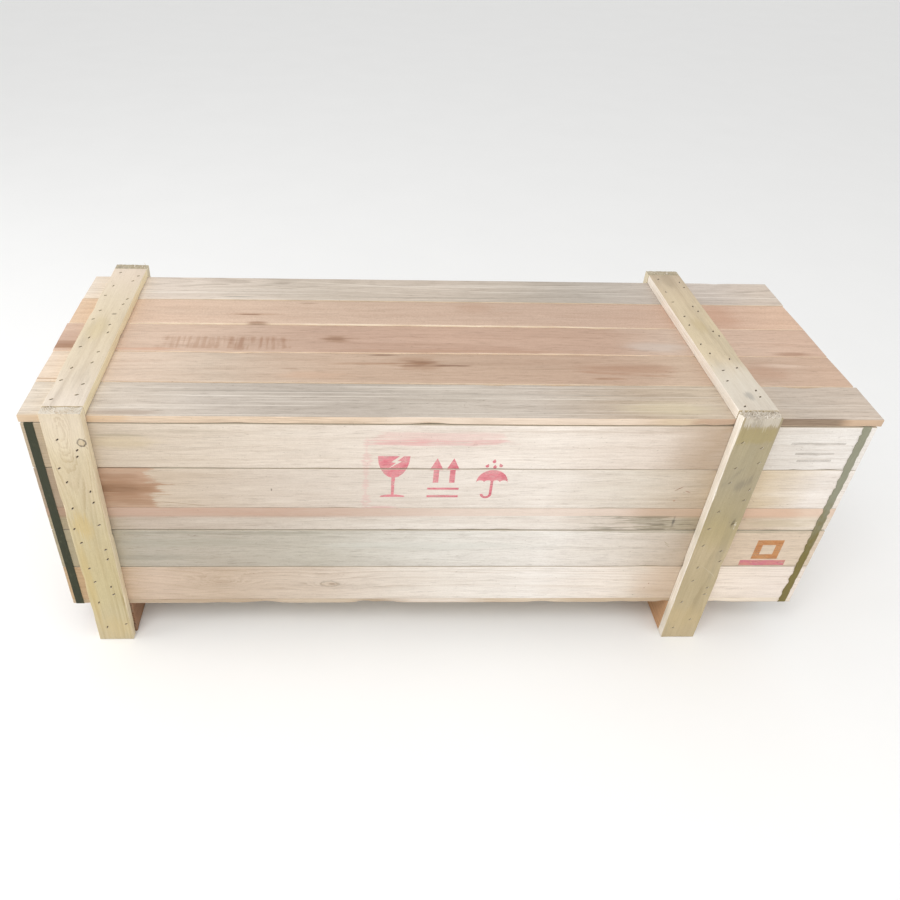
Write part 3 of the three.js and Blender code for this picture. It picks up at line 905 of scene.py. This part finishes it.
def torn_fibres(piece, half, end, count, longest, rng, finish, body):
    """Slivers that stand out of a ripped end, each a thin tapered wedge of wood."""
    mesh = bmesh.new()
    for _ in range(count):
        across = rng.uniform(-0.92, 0.92) * half[1]
        through = rng.uniform(-0.85, 0.9) * half[2]
        length = longest * rng.uniform(0.3, 1.0)
        width = rng.uniform(0.0006, 0.0018)
        thick = rng.uniform(0.0003, 0.0007)
        lean_y = rng.gauss(0.0, 0.5) * length
        lean_z = rng.gauss(0.15, 0.45) * length
        root = end * (half[0] - 0.003)
        base = [(root, across - width, through - thick),
                (root, across + width, through - thick),
                (root, across + width * 0.6, through + thick),
                (root, across - width * 0.6, through + thick)]
        tip_x = root + end * (length * 0.6 + 0.003)
        tip = [(tip_x, across + lean_y + shift, through + lean_z + 0.3 * shift)
               for shift in (-0.0002, 0.0002)]
        verts = [mesh.verts.new(place) for place in base + tip]
        for face in ((0, 1, 2, 3), (0, 4, 5, 1), (1, 5, 2), (2, 5, 4, 3), (3, 4, 0)):
            mesh.faces.new([verts[i] for i in face])
    bmesh.ops.recalc_face_normals(mesh, faces=mesh.faces[:])
    data = bpy.data.meshes.new(f"{piece.name}_slivers")
    mesh.to_mesh(data)
    mesh.free()
    slivers = bpy.data.objects.new(f"{piece.name}_slivers", data)
    scene.collection.objects.link(slivers)
    slivers.matrix_world = piece.matrix_world
    dress(slivers, finish, body)


sliver_wood, tree, shader = new_material("sliver_wood")
sliver_where = coordinates(tree).outputs["Object"]
sliver_line = noisy(tree, scaled(tree, sliver_where, (40.0, 700.0, 700.0)), 3.0)
sliver_tone = blend(tree, remap(tree, sliver_line, 0.35, 0.65), colour("c9bfb0"), colour("ece5da"))
tree.links.new(sliver_tone, shader.inputs["Base Color"])
tree.links.new(remap(tree, sliver_line, 0.3, 0.7, 0.7, 0.95), shader.inputs["Roughness"])

front_boxes = [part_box(f"front_board_{order}") for order in range(1, 6)]
wall_spans = [(low.z, high.z) for low, high in front_boxes]
bearer_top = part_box("bearer_left")[1].z
upright_woods = {
    "front_left": dict(tones=[(0.05, "d0c2a0"), (0.22, "ccbe95"), (0.4, "cabb93"),
                              (0.6, "d0c29f"), (0.73, "d6c6a6"), (0.88, "d9caab"),
                              (0.97, "dccdb4")],
                       edge="f0e4c8", end="d2cabd", taper=-0.008, pith=(0.004, 0.034),
                       ring=0.005, rings=0.5, late="b89a5e",
                       knots=[(0.2845, -0.0317, 0.0088, 1.15, 1.0),
                              (0.305, 0.004, -0.017, 2.0, 0.0)],
                       marks=[mark(0.04, 0.012, 0.028, 0.016, "c9ab66", 0.5,
                                   ragged=0.03, soft=0.03),
                              mark(-0.15, 0.03, 0.12, 0.008, "cdb272", 0.4, ragged=0.03, soft=0.1),
                              mark(-0.31, -0.01, 0.02, 0.02, "cfb880", 0.4, soft=0.04),
                              mark(0.31, 0.0, 0.04, 0.03, "f0e2cc", 0.4, soft=0.05)]),
    "front_right": dict(tones=[(0.05, "c6b593"), (0.28, "bdad8b"), (0.45, "c5b493"),
                               (0.6, "b3a582"), (0.75, "b0a489"), (0.88, "b2a688"),
                               (0.97, "afa184")],
                        edge="fcf5ea", end="c8bdae", taper=0.02, pith=(-0.02, 0.07),
                        grey=0.4, rings=0.2, late="a8986f", grime="9a9079",
                        marks=[mark(0.353, 0.0, 0.012, 0.036, "cfc6b8", 0.85,
                                    ragged=0.02, soft=0.003, rounded=0.0),
                               mark(0.350, 0.01, 0.008, 0.012, "8a7e6c", 0.5,
                                    ragged=0.03, soft=0.004),
                               mark(0.312, 0.0, 0.012, 0.036, "a4945c", 0.5,
                                    ragged=0.01, soft=0.012, rounded=0.0),
                               mark(0.02, 0.0, 0.03, 0.034, "ae9d68", 0.3, ragged=0.02, soft=0.04),
                               mark(0.175, -0.012, 0.012, 0.008, "877e6d", 0.65,
                                    ragged=0.02, soft=0.02, slant=-0.6),
                               mark(0.205, 0.010, 0.012, 0.003, "8f8672", 0.5,
                                    ragged=0.02, soft=0.02, slant=-0.6),
                               mark(0.0475, -0.031, 0.009, 0.0045, "e6dfd0", 0.9,
                                    ragged=0.012, soft=0.004),
                               mark(0.056, -0.025, 0.012, 0.003, "6d6450", 0.75,
                                    ragged=0.01, soft=0.01),
                               mark(-0.105, -0.01, 0.022, 0.0006, "ddd4be", 0.5,
                                    ragged=0.0, soft=0.004, slant=1.1),
                               mark(-0.12, -0.026, 0.018, 0.0005, "ddd4be", 0.45,
                                    ragged=0.0, soft=0.004, slant=0.8),
                               mark(-0.28, 0.0, 0.02, 0.03, "cdb789", 0.4, soft=0.05)]),
    "rear_left": dict(tones=[(0.0, "d0c29a"), (0.5, "d4c7a4"), (1.0, "ded2b5")],
                      edge="e6dcc2", end="b9ae96", taper=0.02, pith=(0.01, 0.06)),
    "rear_right": dict(tones=[(0.0, "c8bb92"), (0.5, "c7ba94"), (1.0, "d1c5a2")],
                       edge="e6dcc2", end="b9ae96", taper=0.03, pith=(-0.01, 0.05)),
}
torn_tops = {"front_left": 0.0022, "front_right": 0.007, "rear_left": 0.0015, "rear_right": 0.0015}
sliver_counts = {"front_left": 26, "front_right": 120, "rear_left": 16, "rear_right": 16}
gouged = {"front_right": [(0.0475, -0.030, 0.007, 0.0035), (0.175, -0.010, 0.010, 0.0012),
                          (-0.10, 0.02, 0.006, 0.001)]}
for order, (corner, wood) in enumerate(upright_woods.items()):
    wall = corner.split("_")[0]
    face = "-y" if wall == "front" else "+y"
    piece, half = sawn_timber(f"batten_{corner}_upright", f"batten_{corner}", "z", face, 90 + order,
                              step=0.012, ease=0.002, chips=9, chip_depth=0.003, wander=0.0008,
                              torn=(0.001, torn_tops[corner]), gouges=gouged.get(corner, ()))
    middle = half[0]
    spans = [(0.012 - middle, bearer_top - 0.01 - middle)]
    spans += [(low - middle, high - middle) for low, high in wall_spans]
    rng = random.Random(906 + order)
    finish = timber_finish(f"batten_{corner}_wood", 90.0 + order, half, dashes=0.1, fibres=0.16,
                           **wood)
    dress(piece, finish, "crate_body")
    steel = dusty_steel if corner == "front_right" else nail_steel
    shoot_nails(piece, half, nail_rows(spans, half[1], rng), rng, "crate_body", steel)
    torn_fibres(piece, half, 1, sliver_counts[corner], 0.009, rng, sliver_wood, "crate_body")

# ------------------------------------------------------------------ straps
# Dark green plastic strapping, 19 mm wide, pulled tight round the body near each end before
# the lid goes on: down the front wall, under the floor, up the rear wall and over the end
# wall's top edge. The right one is the same dark green strapping, frayed along both sides; its
# pale grey and olive tones are painted light. A pressed steel clip closes each at the rear.


def strap_finish(name, upper, lower):
    """Embossed strapping, dusty, that changes from its upper tone to its lower one."""
    material, tree, shader = new_material(name)
    spot = coordinates(tree).outputs["Object"]
    dust = noisy(tree, scaled(tree, spot, (60.0, 30.0, 30.0)), 4.0, 0.6)
    drift = plus(tree, split(tree, spot)["Z"], times(tree, minus(tree, dust, 0.5), 0.3))
    tone = blend(tree, remap(tree, drift, 0.28, 0.52), colour(lower), colour(upper))
    weave = noisy(tree, scaled(tree, spot, (400.0, 30.0, 30.0)))
    tone = blend(tree, times(tree, weave, 0.4), tone, colour("8c8870"), "MULTIPLY")
    tone = blend(tree, remap(tree, dust, 0.55, 0.8, 0.0, 0.2), tone, colour("8d8a72"))
    tree.links.new(tone, shader.inputs["Base Color"])
    tree.links.new(remap(tree, dust, 0.4, 0.7, 0.55, 0.75), shader.inputs["Roughness"])
    shader.inputs["Specular IOR Level"].default_value = 0.2
    waffle = tree.nodes.new("ShaderNodeTexVoronoi")
    waffle.inputs["Scale"].default_value = 700.0
    tree.links.new(spot, waffle.inputs["Vector"])
    embossed = tree.nodes.new("ShaderNodeBump")
    embossed.inputs["Strength"].default_value = 0.4
    embossed.inputs["Distance"].default_value = 0.0003
    tree.links.new(waffle.outputs["Distance"], embossed.inputs["Height"])
    tree.links.new(embossed.outputs["Normal"], shader.inputs["Normal"])
    return material


STRAP_BEND = 0.004
STRAP_THICKNESS = 0.001
# The right strap's pale grey upper tone and olive lower tone are painted light on the same dark
# green.
strap_finishes = {"left": strap_finish("strap_dark_green", "404334", "3c3f2f"),
                  "right": strap_finish("strap_green_painted_light", "9d9c88", "837644")}
strap_fray = {"left": 0.0002, "right": 0.0040}


def strap_route(low, high):
    """The strap's middle line as bend centres and directions, in steps of about 5 mm."""
    corners = [(low.y, high.z), (low.y, low.z), (high.y, low.z), (high.y, high.z)]
    starts = (0.5, 1.0, 1.5, 0.0)
    bends = []
    for (cy, cz), start in zip(corners, starts):
        rise = STRAP_BEND if cz < high.z else -STRAP_BEND
        centre = Vector((cy + math.copysign(STRAP_BEND, -cy), cz + rise))
        angles = [(start + 0.5 * i / 4) * math.pi for i in range(5)]
        bends.append([(centre, Vector((math.cos(a), math.sin(a)))) for a in angles])
    route = []
    for bend, following in zip(bends, bends[1:] + bends[:1]):
        route.extend(bend)
        start, out = bend[-1]
        stop = following[0][0]
        steps = max(1, round((stop - start).length / 0.005))
        route.extend((start.lerp(stop, i / steps), out) for i in range(1, steps))
    return route


for side in ("left", "right"):
    low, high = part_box(f"strap_{side}")
    route = strap_route(low, high)
    verts, faces = [], []
    for n, (centre, out) in enumerate(route):
        ragged = [noise.noise(Vector((n * pitch, 0.0, pitch))) for pitch in (0.31, 0.83, 0.57)]
        frayed = strap_fray[side] * max(0.0, 0.35 + 1.1 * ragged[0] + 0.7 * ragged[1])
        worn = strap_fray[side] * 0.5 * max(0.0, 0.2 + 1.5 * ragged[2])
        outer = centre + out * STRAP_BEND
        inner_side = centre + out * (STRAP_BEND - STRAP_THICKNESS)
        for x, p in ((low.x + frayed, outer), (high.x - worn, outer),
                     (high.x - worn, inner_side), (low.x + frayed, inner_side)):
            verts.append((x, p.x, p.y))
    count = len(route)
    for i in range(count):
        for j in range(4):
            k = (j + 1) % 4
            n = (i + 1) % count
            faces.append((4 * i + j, 4 * i + k, 4 * n + k, 4 * n + j))
    mesh = bpy.data.meshes.new(f"strap_{side}_band")
    mesh.from_pydata(verts, [], faces)
    band = bpy.data.objects.new(f"strap_{side}_band", mesh)
    scene.collection.objects.link(band)
    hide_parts(f"strap_{side}")
    dress(band, strap_finishes[side], "crate_body")

clip_steel, tree, shader = new_material("clip_steel")
scuffs = noisy(tree, scaled(tree, coordinates(tree).outputs["Object"], (300, 300, 60)), 4.0)
tree.links.new(blend(tree, scuffs, colour("8f9294"), colour("b4b6b6")), shader.inputs["Base Color"])
tree.links.new(remap(tree, scuffs, 0.3, 0.7, 0.25, 0.5), shader.inputs["Roughness"])
shader.inputs["Metallic"].default_value = 1.0
for side in ("left", "right"):
    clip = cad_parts[f"strap_seal_{side}"]
    clip.data.materials.clear()
    clip.data.materials.append(clip_steel)

# ------------------------------------------------------------------ stencilled marks
# Handling marks sprayed through a stencil on the front wall in faded red: glass, upright
# arrows and umbrella. Near the right end are a plain hollow square over a bar, and three
# faint grey bars. Each is a thin coat of paint that follows the boards it lies on.


def arc(centre_x, centre_z, radius_x, radius_z, start, stop, steps=10):
    """Points on part of an ellipse, with angles in degrees counter-clockwise from +x."""
    angles = [math.radians(start + (stop - start) * i / steps) for i in range(steps + 1)]
    return [(centre_x + radius_x * math.cos(a), centre_z + radius_z * math.sin(a)) for a in angles]


def bar(left, right, bottom, top):
    return [(left, bottom), (right, bottom), (right, top), (left, top)]


def board_surface(planks):
    """A tree of the planks' faces in the crate's frame, to lay paint on."""
    verts, faces = [], []
    for plank in planks:
        start = len(verts)
        verts.extend(plank.matrix_world @ v.co for v in plank.data.vertices)
        faces.extend([start + i for i in polygon.vertices] for polygon in plank.data.polygons)
    return BVHTree.FromPolygons(verts, faces)


def paint_finish(name, tone, dark, cover):
    """Thin sprayed paint that has missed the hollows of the grain. cover is how much it hides."""
    material, tree, shader = new_material(name)
    where = coordinates(tree).outputs["Object"]
    fibres = noisy(tree, scaled(tree, where, (22.0, 1.0, 420.0)), 3.0, 0.6)
    mist = noisy(tree, scaled(tree, where, (40.0, 1.0, 48.0)), 5.0, 0.75)
    sprayed = blend(tree, remap(tree, mist, 0.35, 0.65), colour(tone), colour(dark))
    tree.links.new(sprayed, shader.inputs["Base Color"])
    on_fibres = remap(tree, fibres, 0.3, 0.52, 0.5, 1.0)
    hold = times(tree, on_fibres, remap(tree, mist, 0.28, 0.5, 0.55, 1.0))
    tree.links.new(times(tree, hold, cover), shader.inputs["Alpha"])
    tree.links.new(remap(tree, fibres, 0.3, 0.7, 0.9, 0.7), shader.inputs["Roughness"])
    return material


PAINT_PROUD = 0.00012
PAINT_THICKNESS = 0.0002
PAINT_CELL = 0.009
PAINT_MARGIN = 0.0011
SPRAY_DISTANCE = 0.05
front_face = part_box("front_board_5")[0].y


def paint_mark(name, outlines, centre, finish):
    """Lays outlines, in millimetres round the mark's centre (x, z), on the front wall."""
    surface = board_surface(wall_planks.values())
    mesh = bmesh.new()
    for outline in outlines:
        corners = [(centre[0] + x / 1000, front_face, centre[1] + z / 1000) for x, z in outline]
        mesh.faces.new([mesh.verts.new(corner) for corner in corners])
    mesh.normal_update()
    bmesh.ops.triangulate(mesh, faces=mesh.faces[:])
    for axis in (0, 2):
        places = [v.co[axis] for v in mesh.verts]
        first, last = math.ceil(min(places) / PAINT_CELL), math.ceil(max(places) / PAINT_CELL)
        cuts = [n * PAINT_CELL for n in range(first, last)]
        if axis == 2:
            for low, high in wall_spans:
                cuts.extend((low + PAINT_MARGIN, high - PAINT_MARGIN))
        for cut in cuts:
            point, normal = Vector((0, 0, 0)), Vector((0, 0, 0))
            point[axis] = cut
            normal[axis] = 1.0
            everything = mesh.verts[:] + mesh.edges[:] + mesh.faces[:]
            bmesh.ops.bisect_plane(mesh, geom=everything, plane_co=point, plane_no=normal)
    margin = 0.9 * PAINT_MARGIN
    spans = [(low + margin, high - margin) for low, high in wall_spans]
    over_gap = [f for f in mesh.faces
                if not any(low < f.calc_center_median().z < high for low, high in spans)]
    bmesh.ops.delete(mesh, geom=over_gap, context="FACES")
    for vertex in mesh.verts:
        start = Vector((vertex.co.x, front_face - SPRAY_DISTANCE, vertex.co.z))
        hit = surface.ray_cast(start, Vector((0, 1, 0)))[0]
        vertex.co.y = hit.y - PAINT_PROUD
    data = bpy.data.meshes.new(name)
    mesh.to_mesh(data)
    mesh.free()
    film = bpy.data.objects.new(name, data)
    scene.collection.objects.link(film)
    coat = film.modifiers.new("coat", "SOLIDIFY")
    coat.thickness = PAINT_THICKNESS
    coat.offset = -1.0
    bpy.context.view_layer.update()
    shaped = film.evaluated_get(bpy.context.evaluated_depsgraph_get())
    coated = bpy.data.meshes.new_from_object(shaped)
    film.modifiers.clear()
    film.data = coated
    dress(film, finish, "crate_body")


stencil_red = paint_finish("stencil_red", "eba0a4", "da7380", 0.9)
ochre_paint = paint_finish("ochre_paint", "cf9660", "bf7f4c", 0.9)
rose_paint = paint_finish("rose_paint", "e09a84", "d97a8c", 0.8)
pale_grey_paint = paint_finish("pale_grey_paint", "b9b1a8", "a79f96", 0.3)

glass_bowl = [(-35, 29), *arc(0, 29, 35, 62, 180, 360), (35, 29),
              (21, 29), (8, 16), (17, 14), (-13, -8), (4, 10), (-6, 12), (12, 29)]
glass_stem = [(-3, -84), (3, -84), (4, -31), (-4, -31)]
glass_foot = [(-28, -90), (28, -90), (26, -86.5), (8, -83), (-8, -83), (-26, -86.5)]
paint_mark("stencil_glass", [glass_bowl, glass_stem, glass_foot], (-0.1325, 0.5615), stencil_red)

arrow_shapes = []
for middle in (-18, 18):
    arrow_shapes.append([(middle - 6, -28), (middle + 6, -28), (middle + 6, 9), (middle + 15, 9),
                         (middle, 43), (middle - 15, 9), (middle - 6, 9)])
arrow_shapes.extend((bar(-35, 35, -49, -43), bar(-35, 35, -72, -66)))
paint_mark("stencil_arrows", arrow_shapes, (-0.0205, 0.5425), stencil_red)

canopy = arc(0, -18, 35, 36, 0, 180, 14)
for scallop in range(4):
    canopy.extend(arc(-26.25 + 17.5 * scallop, -18, 8.75, 6, 180, 0, 5)[1:-1])
    if scallop < 3:
        canopy.append((-17.5 + 17.5 * scallop, -18))
handle = [(3, -12), (-3, -12), (-3, -51), *arc(-10, -53, 7, 7, 0, -180, 6), (-23, -53),
          *arc(-10, -53, 13, 13, 180, 360, 8), (3, -51)]
handle.reverse()
drops = [[*arc(x, z, 4.0, 4.4, 150, 390, 8), (x + lean, z + 7)]
         for x, z, lean in ((-15, 29, 3), (2, 26, 0), (-1, 42, 1), (15, 30, -3))]
paint_mark("stencil_umbrella", [canopy, handle, *drops], (0.0865, 0.534), stencil_red)

square_frame = [bar(-32, 32, 16, 32), bar(-32, 32, -32, -16),
                bar(-32, -16, -16, 16), bar(16, 32, -16, 16)]
paint_mark("plain_square", square_frame, (0.777, 0.301), ochre_paint)
paint_mark("plain_bar", [bar(-56, 56, -9, 9)], (0.777, 0.2555), rose_paint)
faint_bars = [bar(-54, 66, 20, 26), bar(-36, 50, -8, -2), bar(-26, 50, -28, -22)]
paint_mark("faint_bars", faint_bars, (0.777, 0.607), pale_grey_paint)

# ------------------------------------------------------------------ lid boards
# Five boards along the crate, cut off by eye, so that their ends don't line up. Two have
# pink heartwood, two have greyed in the weather. They spring a little between the battens
# that hold them, so a board's front edge stands a hair above the next. Numbers run from the
# front.

# Boards 2 to 4 have very pale edge colours: partly the fresh-sawn wood and partly a painted
# highlight where their raised front edges catch the light.
lid_wood_light_and_shade = {
    1: dict(tones=[(0.02, "e4d8c8"), (0.1, "e0d4c6"), (0.2, "ccc2b7"), (0.35, "c1b7ac"),
                   (0.5, "ccc2b6"), (0.6, "cfc4b8"), (0.72, "c4b29e"), (0.8, "d3c3ae"),
                   (0.9, "cec1b3"), (0.98, "d6c7b8")],
            edge="e6cfb6", grey=0.16, taper=0.003, rings=0.2, late="9d9386", gleam=0.35, dashes=0.4,
            marks=[mark(-0.70, -0.048, 0.07, 0.006, "9a8472", 0.6, ragged=0.03, soft=0.06),
                   mark(-0.84, -0.058, 0.1, 0.004, "c9ad88", 0.5, ragged=0.02, soft=0.08),
                   mark(0.20, 0.0065, 0.25, 0.0008, "f2ebde", 0.8, ragged=0.002, soft=0.12),
                   mark(0.10, 0.022, 0.25, 0.0012, "8f877c", 0.6, ragged=0.002, soft=0.2),
                   mark(-0.30, 0.012, 0.28, 0.0009, "e9e1d4", 0.7, ragged=0.002, soft=0.15),
                   mark(-0.35, 0.030, 0.30, 0.0014, "8f877c", 0.55, ragged=0.003, soft=0.2),
                   mark(0.05, 0.040, 0.30, 0.0009, "e6ded2", 0.6, ragged=0.002, soft=0.2),
                   mark(0.45, -0.025, 0.05, 0.012, "dccfae", 0.5, ragged=0.03, soft=0.1),
                   *stripe(-0.062, 0.002, 0.006, [
                       (-0.73, 0.03, "d6b48f", 0.6, 0.03), (0.11, 0.22, "f2e3d4", 0.5, 0.12),
                       (0.47, 0.02, "d0bc9c", 0.6, 0.05), (0.55, 0.04, "b4937a", 0.8, 0.03)]),
                   # The two dark brown marks on the front edge near the right end, at 0.73 and
                   # 0.87, are painted shadow.
                   mark(0.73, -0.061, 0.08, 0.003, "7a6552", 0.95,
                        ragged=0.006, soft=0.03, rounded=0.0),
                   mark(0.87, -0.062, 0.04, 0.002, "c3a284", 0.7,
                        ragged=0.006, soft=0.03, rounded=0.0)]),
    2: dict(tones=[(0.02, "ecdac6"), (0.1, "e6d1be"), (0.2, "d5c3b1"), (0.35, "cdb49f"),
                   (0.5, "c9af9a"), (0.72, "c7ab96"), (0.8, "d3bba5"), (0.9, "d0b6a2"),
                   (0.98, "d6b9a3")],
            edge="f0dfc6", taper=0.006, rings=0.18, late="b08f74", dashes=0.3,
            marks=[mark(-0.07, 0.020, 0.050, 0.024, "a98870", 0.8, ragged=0.05, soft=0.03),
                   mark(-0.065, 0.022, 0.032, 0.006, "7d5c46", 0.75, ragged=0.06, soft=0.02),
                   mark(-0.06, 0.012, 0.030, 0.004, "7d5c46", 0.65, ragged=0.06, soft=0.02),
                   mark(-0.078, 0.029, 0.024, 0.003, "8a6850", 0.6, ragged=0.06, soft=0.02),
                   mark(-0.14, 0.018, 0.11, 0.004, "a07b60", 0.65, ragged=0.04, soft=0.05),
                   mark(0.005, 0.012, 0.03, 0.003, "74543f", 0.8, ragged=0.02, soft=0.02),
                   mark(-0.15, 0.053, 0.022, 0.003, "80614e", 0.8, ragged=0.012, soft=0.02),
                   mark(0.42, 0.004, 0.07, 0.012, "a98168", 0.55, ragged=0.05, soft=0.08),
                   mark(0.40, -0.018, 0.07, 0.004, "a98168", 0.5,
                        ragged=0.04, soft=0.05, slant=-0.06),
                   mark(0.355, -0.037, 0.028, 0.003, "9d7458", 0.6, ragged=0.02, soft=0.03),
                   mark(0.765, 0.022, 0.04, 0.007, "e2cbb8", 0.65, ragged=0.02, soft=0.03),
                   mark(0.73, -0.005, 0.03, 0.020, "b48c74", 0.5, ragged=0.03, soft=0.05),
                   mark(-0.36, -0.005, 0.015, 0.0012, "8d6c58", 0.6, ragged=0.006, soft=0.012),
                   mark(-0.30, -0.03, 0.06, 0.012, "c9a78e", 0.5, ragged=0.03, soft=0.05),
                   mark(-0.885, -0.050, 0.035, 0.002, "a07a58", 0.75, ragged=0.006, soft=0.02)]),
    3: dict(tones=[(0.02, "dcc0ac"), (0.1, "e2c9b5"), (0.25, "ceb4a1"), (0.35, "c8aa97"),
                   (0.5, "cdae9a"), (0.72, "caac98"), (0.8, "d5beac"), (0.97, "dcbea9")],
            edge="f8e6cd", taper=0.005, rings=0.2, late="b28f76", dashes=0.35,
            marks=[mark(-0.515, -0.020, 0.135, 0.022, "a8836a", 0.55,
                        ragged=0.02, soft=0.02, bars=1.0, rounded=0.0),
                   mark(-0.44, -0.026, 0.055, 0.024, "946c54", 0.45,
                        ragged=0.02, soft=0.015, bars=0.8, rounded=0.0),
                   mark(-0.254, -0.002, 0.030, 0.014, "a3826a", 0.8, ragged=0.03, soft=0.015),
                   mark(-0.250, -0.001, 0.022, 0.006, "84634d", 0.6, ragged=0.04, soft=0.02),
                   mark(-0.890, -0.034, 0.035, 0.012, "8f6549", 0.9,
                        ragged=0.02, soft=0.012, rounded=0.0),
                   mark(-0.890, -0.005, 0.035, 0.020, "bb9c8a", 0.6,
                        ragged=0.02, soft=0.03, rounded=0.0),
                   mark(-0.70, -0.05, 0.08, 0.004, "c89478", 0.5, ragged=0.03, soft=0.05),
                   mark(0.830, -0.050, 0.03, 0.006, "99725a", 0.65, ragged=0.02, soft=0.03),
                   mark(0.51, -0.024, 0.05, 0.012, "c9bfb6", 0.55, ragged=0.03, soft=0.07),
                   mark(0.0, -0.052, 0.2, 0.004, "b08b72", 0.4, ragged=0.03, soft=0.2)]),
    4: dict(tones=[(0.02, "e8ccb0"), (0.1, "e8cdb7"), (0.32, "d9c0ac"), (0.72, "d2b7a4"),
                   (0.9, "dbbca7"), (0.98, "e6c6ae")],
            edge="fdf2dc", taper=0.004, rings=0.15, late="bb987c",
            streaks=0.2, dashes=0.15, fuzz=0.45,
            marks=[mark(-0.473, -0.015, 0.018, 0.0017, "6f4e3a", 0.9, ragged=0.008, soft=0.02),
                   mark(-0.46, -0.014, 0.045, 0.005, "ab866c", 0.5, ragged=0.02, soft=0.04),
                   mark(-0.454, -0.056, 0.02, 0.005, "8d674f", 0.75, ragged=0.01, soft=0.015),
                   mark(0.09, 0.030, 0.025, 0.014, "b5927a", 0.4, ragged=0.02, soft=0.05),
                   mark(0.715, 0.0, 0.02, 0.03, "c1947a", 0.5, ragged=0.02, soft=0.05),
                   mark(-0.33, 0.045, 0.012, 0.002, "8f715c", 0.5, ragged=0.01, soft=0.02)]),
    5: dict(tones=[(0.02, "efe1d0"), (0.1, "e9dccf"), (0.32, "d0c4b6"), (0.5, "d5c8ba"),
                   (0.62, "c7bcaf"), (0.72, "c0b7ac"), (0.9, "d6cbc1"), (0.98, "dfd1c3")],
            edge="e5d3b8", grey=0.14, taper=0.022, ring=0.0036, rings=0.35,
            late="948a7c", gleam=0.35, dashes=0.35,
            marks=[mark(-0.13, 0.02, 0.25, 0.0010, "efe5d6", 0.7,
                        ragged=0.002, soft=0.15, slant=-0.09),
                   mark(-0.20, -0.01, 0.25, 0.0010, "eadfcf", 0.6,
                        ragged=0.002, soft=0.15, slant=-0.09),
                   mark(0.0, -0.04, 0.2, 0.0016, "8c8375", 0.6, ragged=0.003, soft=0.2),
                   mark(-0.52, -0.045, 0.03, 0.002, "8f8a80", 0.7, ragged=0.01, soft=0.03)]),
}
left_batten_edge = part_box("lid_batten_left")[1].x
right_batten_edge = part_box("lid_batten_right")[0].x
lifted_stretches = {1: (-0.5, 0.2, 0.0004), 2: (-0.72, 0.40, 0.0012), 3: (0.0, 0.43, 0.0026),
                    4: (-0.72, 0.40, 0.0034), 5: (-0.6, 0.5, 0.0012)}
lid_trims = {1: ((0, 0), (0.0003, 0.0003)), 2: ((0.0005, 0.0005), (0.0002, 0.0)),
             3: ((0.0003, 0.0008), (0.0003, 0)), 4: ((0.0004, 0.0004), (0.0, 0.0006)),
             5: ((0.0, 0.0004), (0, 0))}
for order, wood in lid_wood_light_and_shade.items():
    node = f"lid_board_{order}"
    low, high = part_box(node)
    middle_x = (low.x + high.x) / 2
    start, stop, height = lifted_stretches[order]
    lift = [(left_batten_edge - middle_x, 0.0), (start + 0.03, height * 0.7), (start + 0.3, height),
            (stop - 0.15, height), (stop + 0.05, 0.0), (right_batten_edge - middle_x, 0.0)]
    piece, half = sawn_timber(f"{node}_plank", node, "x", "+z", 50 + order,
                              ease=0.0012, chips=9, chip_depth=0.0024, lift=lift,
                              trims=lid_trims[order],
                              end_skew=(0.001 * (order % 3 - 1), 0.0015 * (order % 2)))
    finish = timber_finish(f"{node}_wood", 50.0 + order, half, end="dcbf98",
                           pith=(0.04 * (order % 3 - 1), 0.14), **wood)
    dress(piece, finish, "lid")

# ------------------------------------------------------------------ battens across the lid
# The same stock as the uprights, laid flat on the lid boards between the uprights' tops.
# They hold the boards together, so they and their nails rise with the lid.

lid_boxes = [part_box(f"lid_board_{order}") for order in range(1, 6)]
lid_spans = [(low.y, high.y) for low, high in lid_boxes]
lid_batten_woods = {
    "left": dict(tones=[(0.0, "e5d9ca"), (0.25, "ded0b9"), (0.5, "dfd0b4"), (0.75, "e2d4bc"),
                        (1.0, "e9d9c7")],
                 edge="fbeecb", taper=0.01, pith=(0.0, 0.08),
                 marks=[mark(0.0, 0.01, 0.03, 0.015, "cdbc90", 0.4, soft=0.04),
                        mark(0.066, -0.015, 0.003, 0.004, "6e6150", 0.7,
                             ragged=0.002, soft=0.004)]),
    "right": dict(tones=[(0.0, "d9d0c2"), (0.15, "dbd0bc"), (0.3, "ddcdb0"), (0.5, "d8c8a9"),
                         (0.8, "d7c6a9"), (1.0, "cab9a1")],
                  edge="faf2e6", taper=0.012, pith=(0.015, 0.07),
                  marks=[mark(-0.250, 0.0, 0.011, 0.007, "77756f", 0.8, ragged=0.01, soft=0.01),
                         mark(0.04, 0.0, 0.02, 0.01, "bba77c", 0.45, ragged=0.02, soft=0.03),
                         mark(-0.20, 0.0, 0.05, 0.05, "ddd6cb", 0.5, ragged=0.02, soft=0.06),
                         mark(0.27, 0.0, 0.03, 0.012, "a3937c", 0.5, ragged=0.02, soft=0.03)]),
}
for order, (side, wood) in enumerate(lid_batten_woods.items()):
    piece, half = sawn_timber(f"lid_batten_{side}_bar", f"lid_batten_{side}", "y", "+z", 70 + order,
                              ease=0.002, chips=6, chip_depth=0.0025, wander=0.0008)
    rng = random.Random(700 + order)
    finish = timber_finish(f"lid_batten_{side}_wood", 70.0 + order, half, end="cfc0a0", grey=0.25,
                           dashes=0.1, fibres=0.16, **wood)
    dress(piece, finish, "lid")
    shoot_nails(piece, half, nail_rows(lid_spans, half[1], rng), rng, "lid", nail_steel)
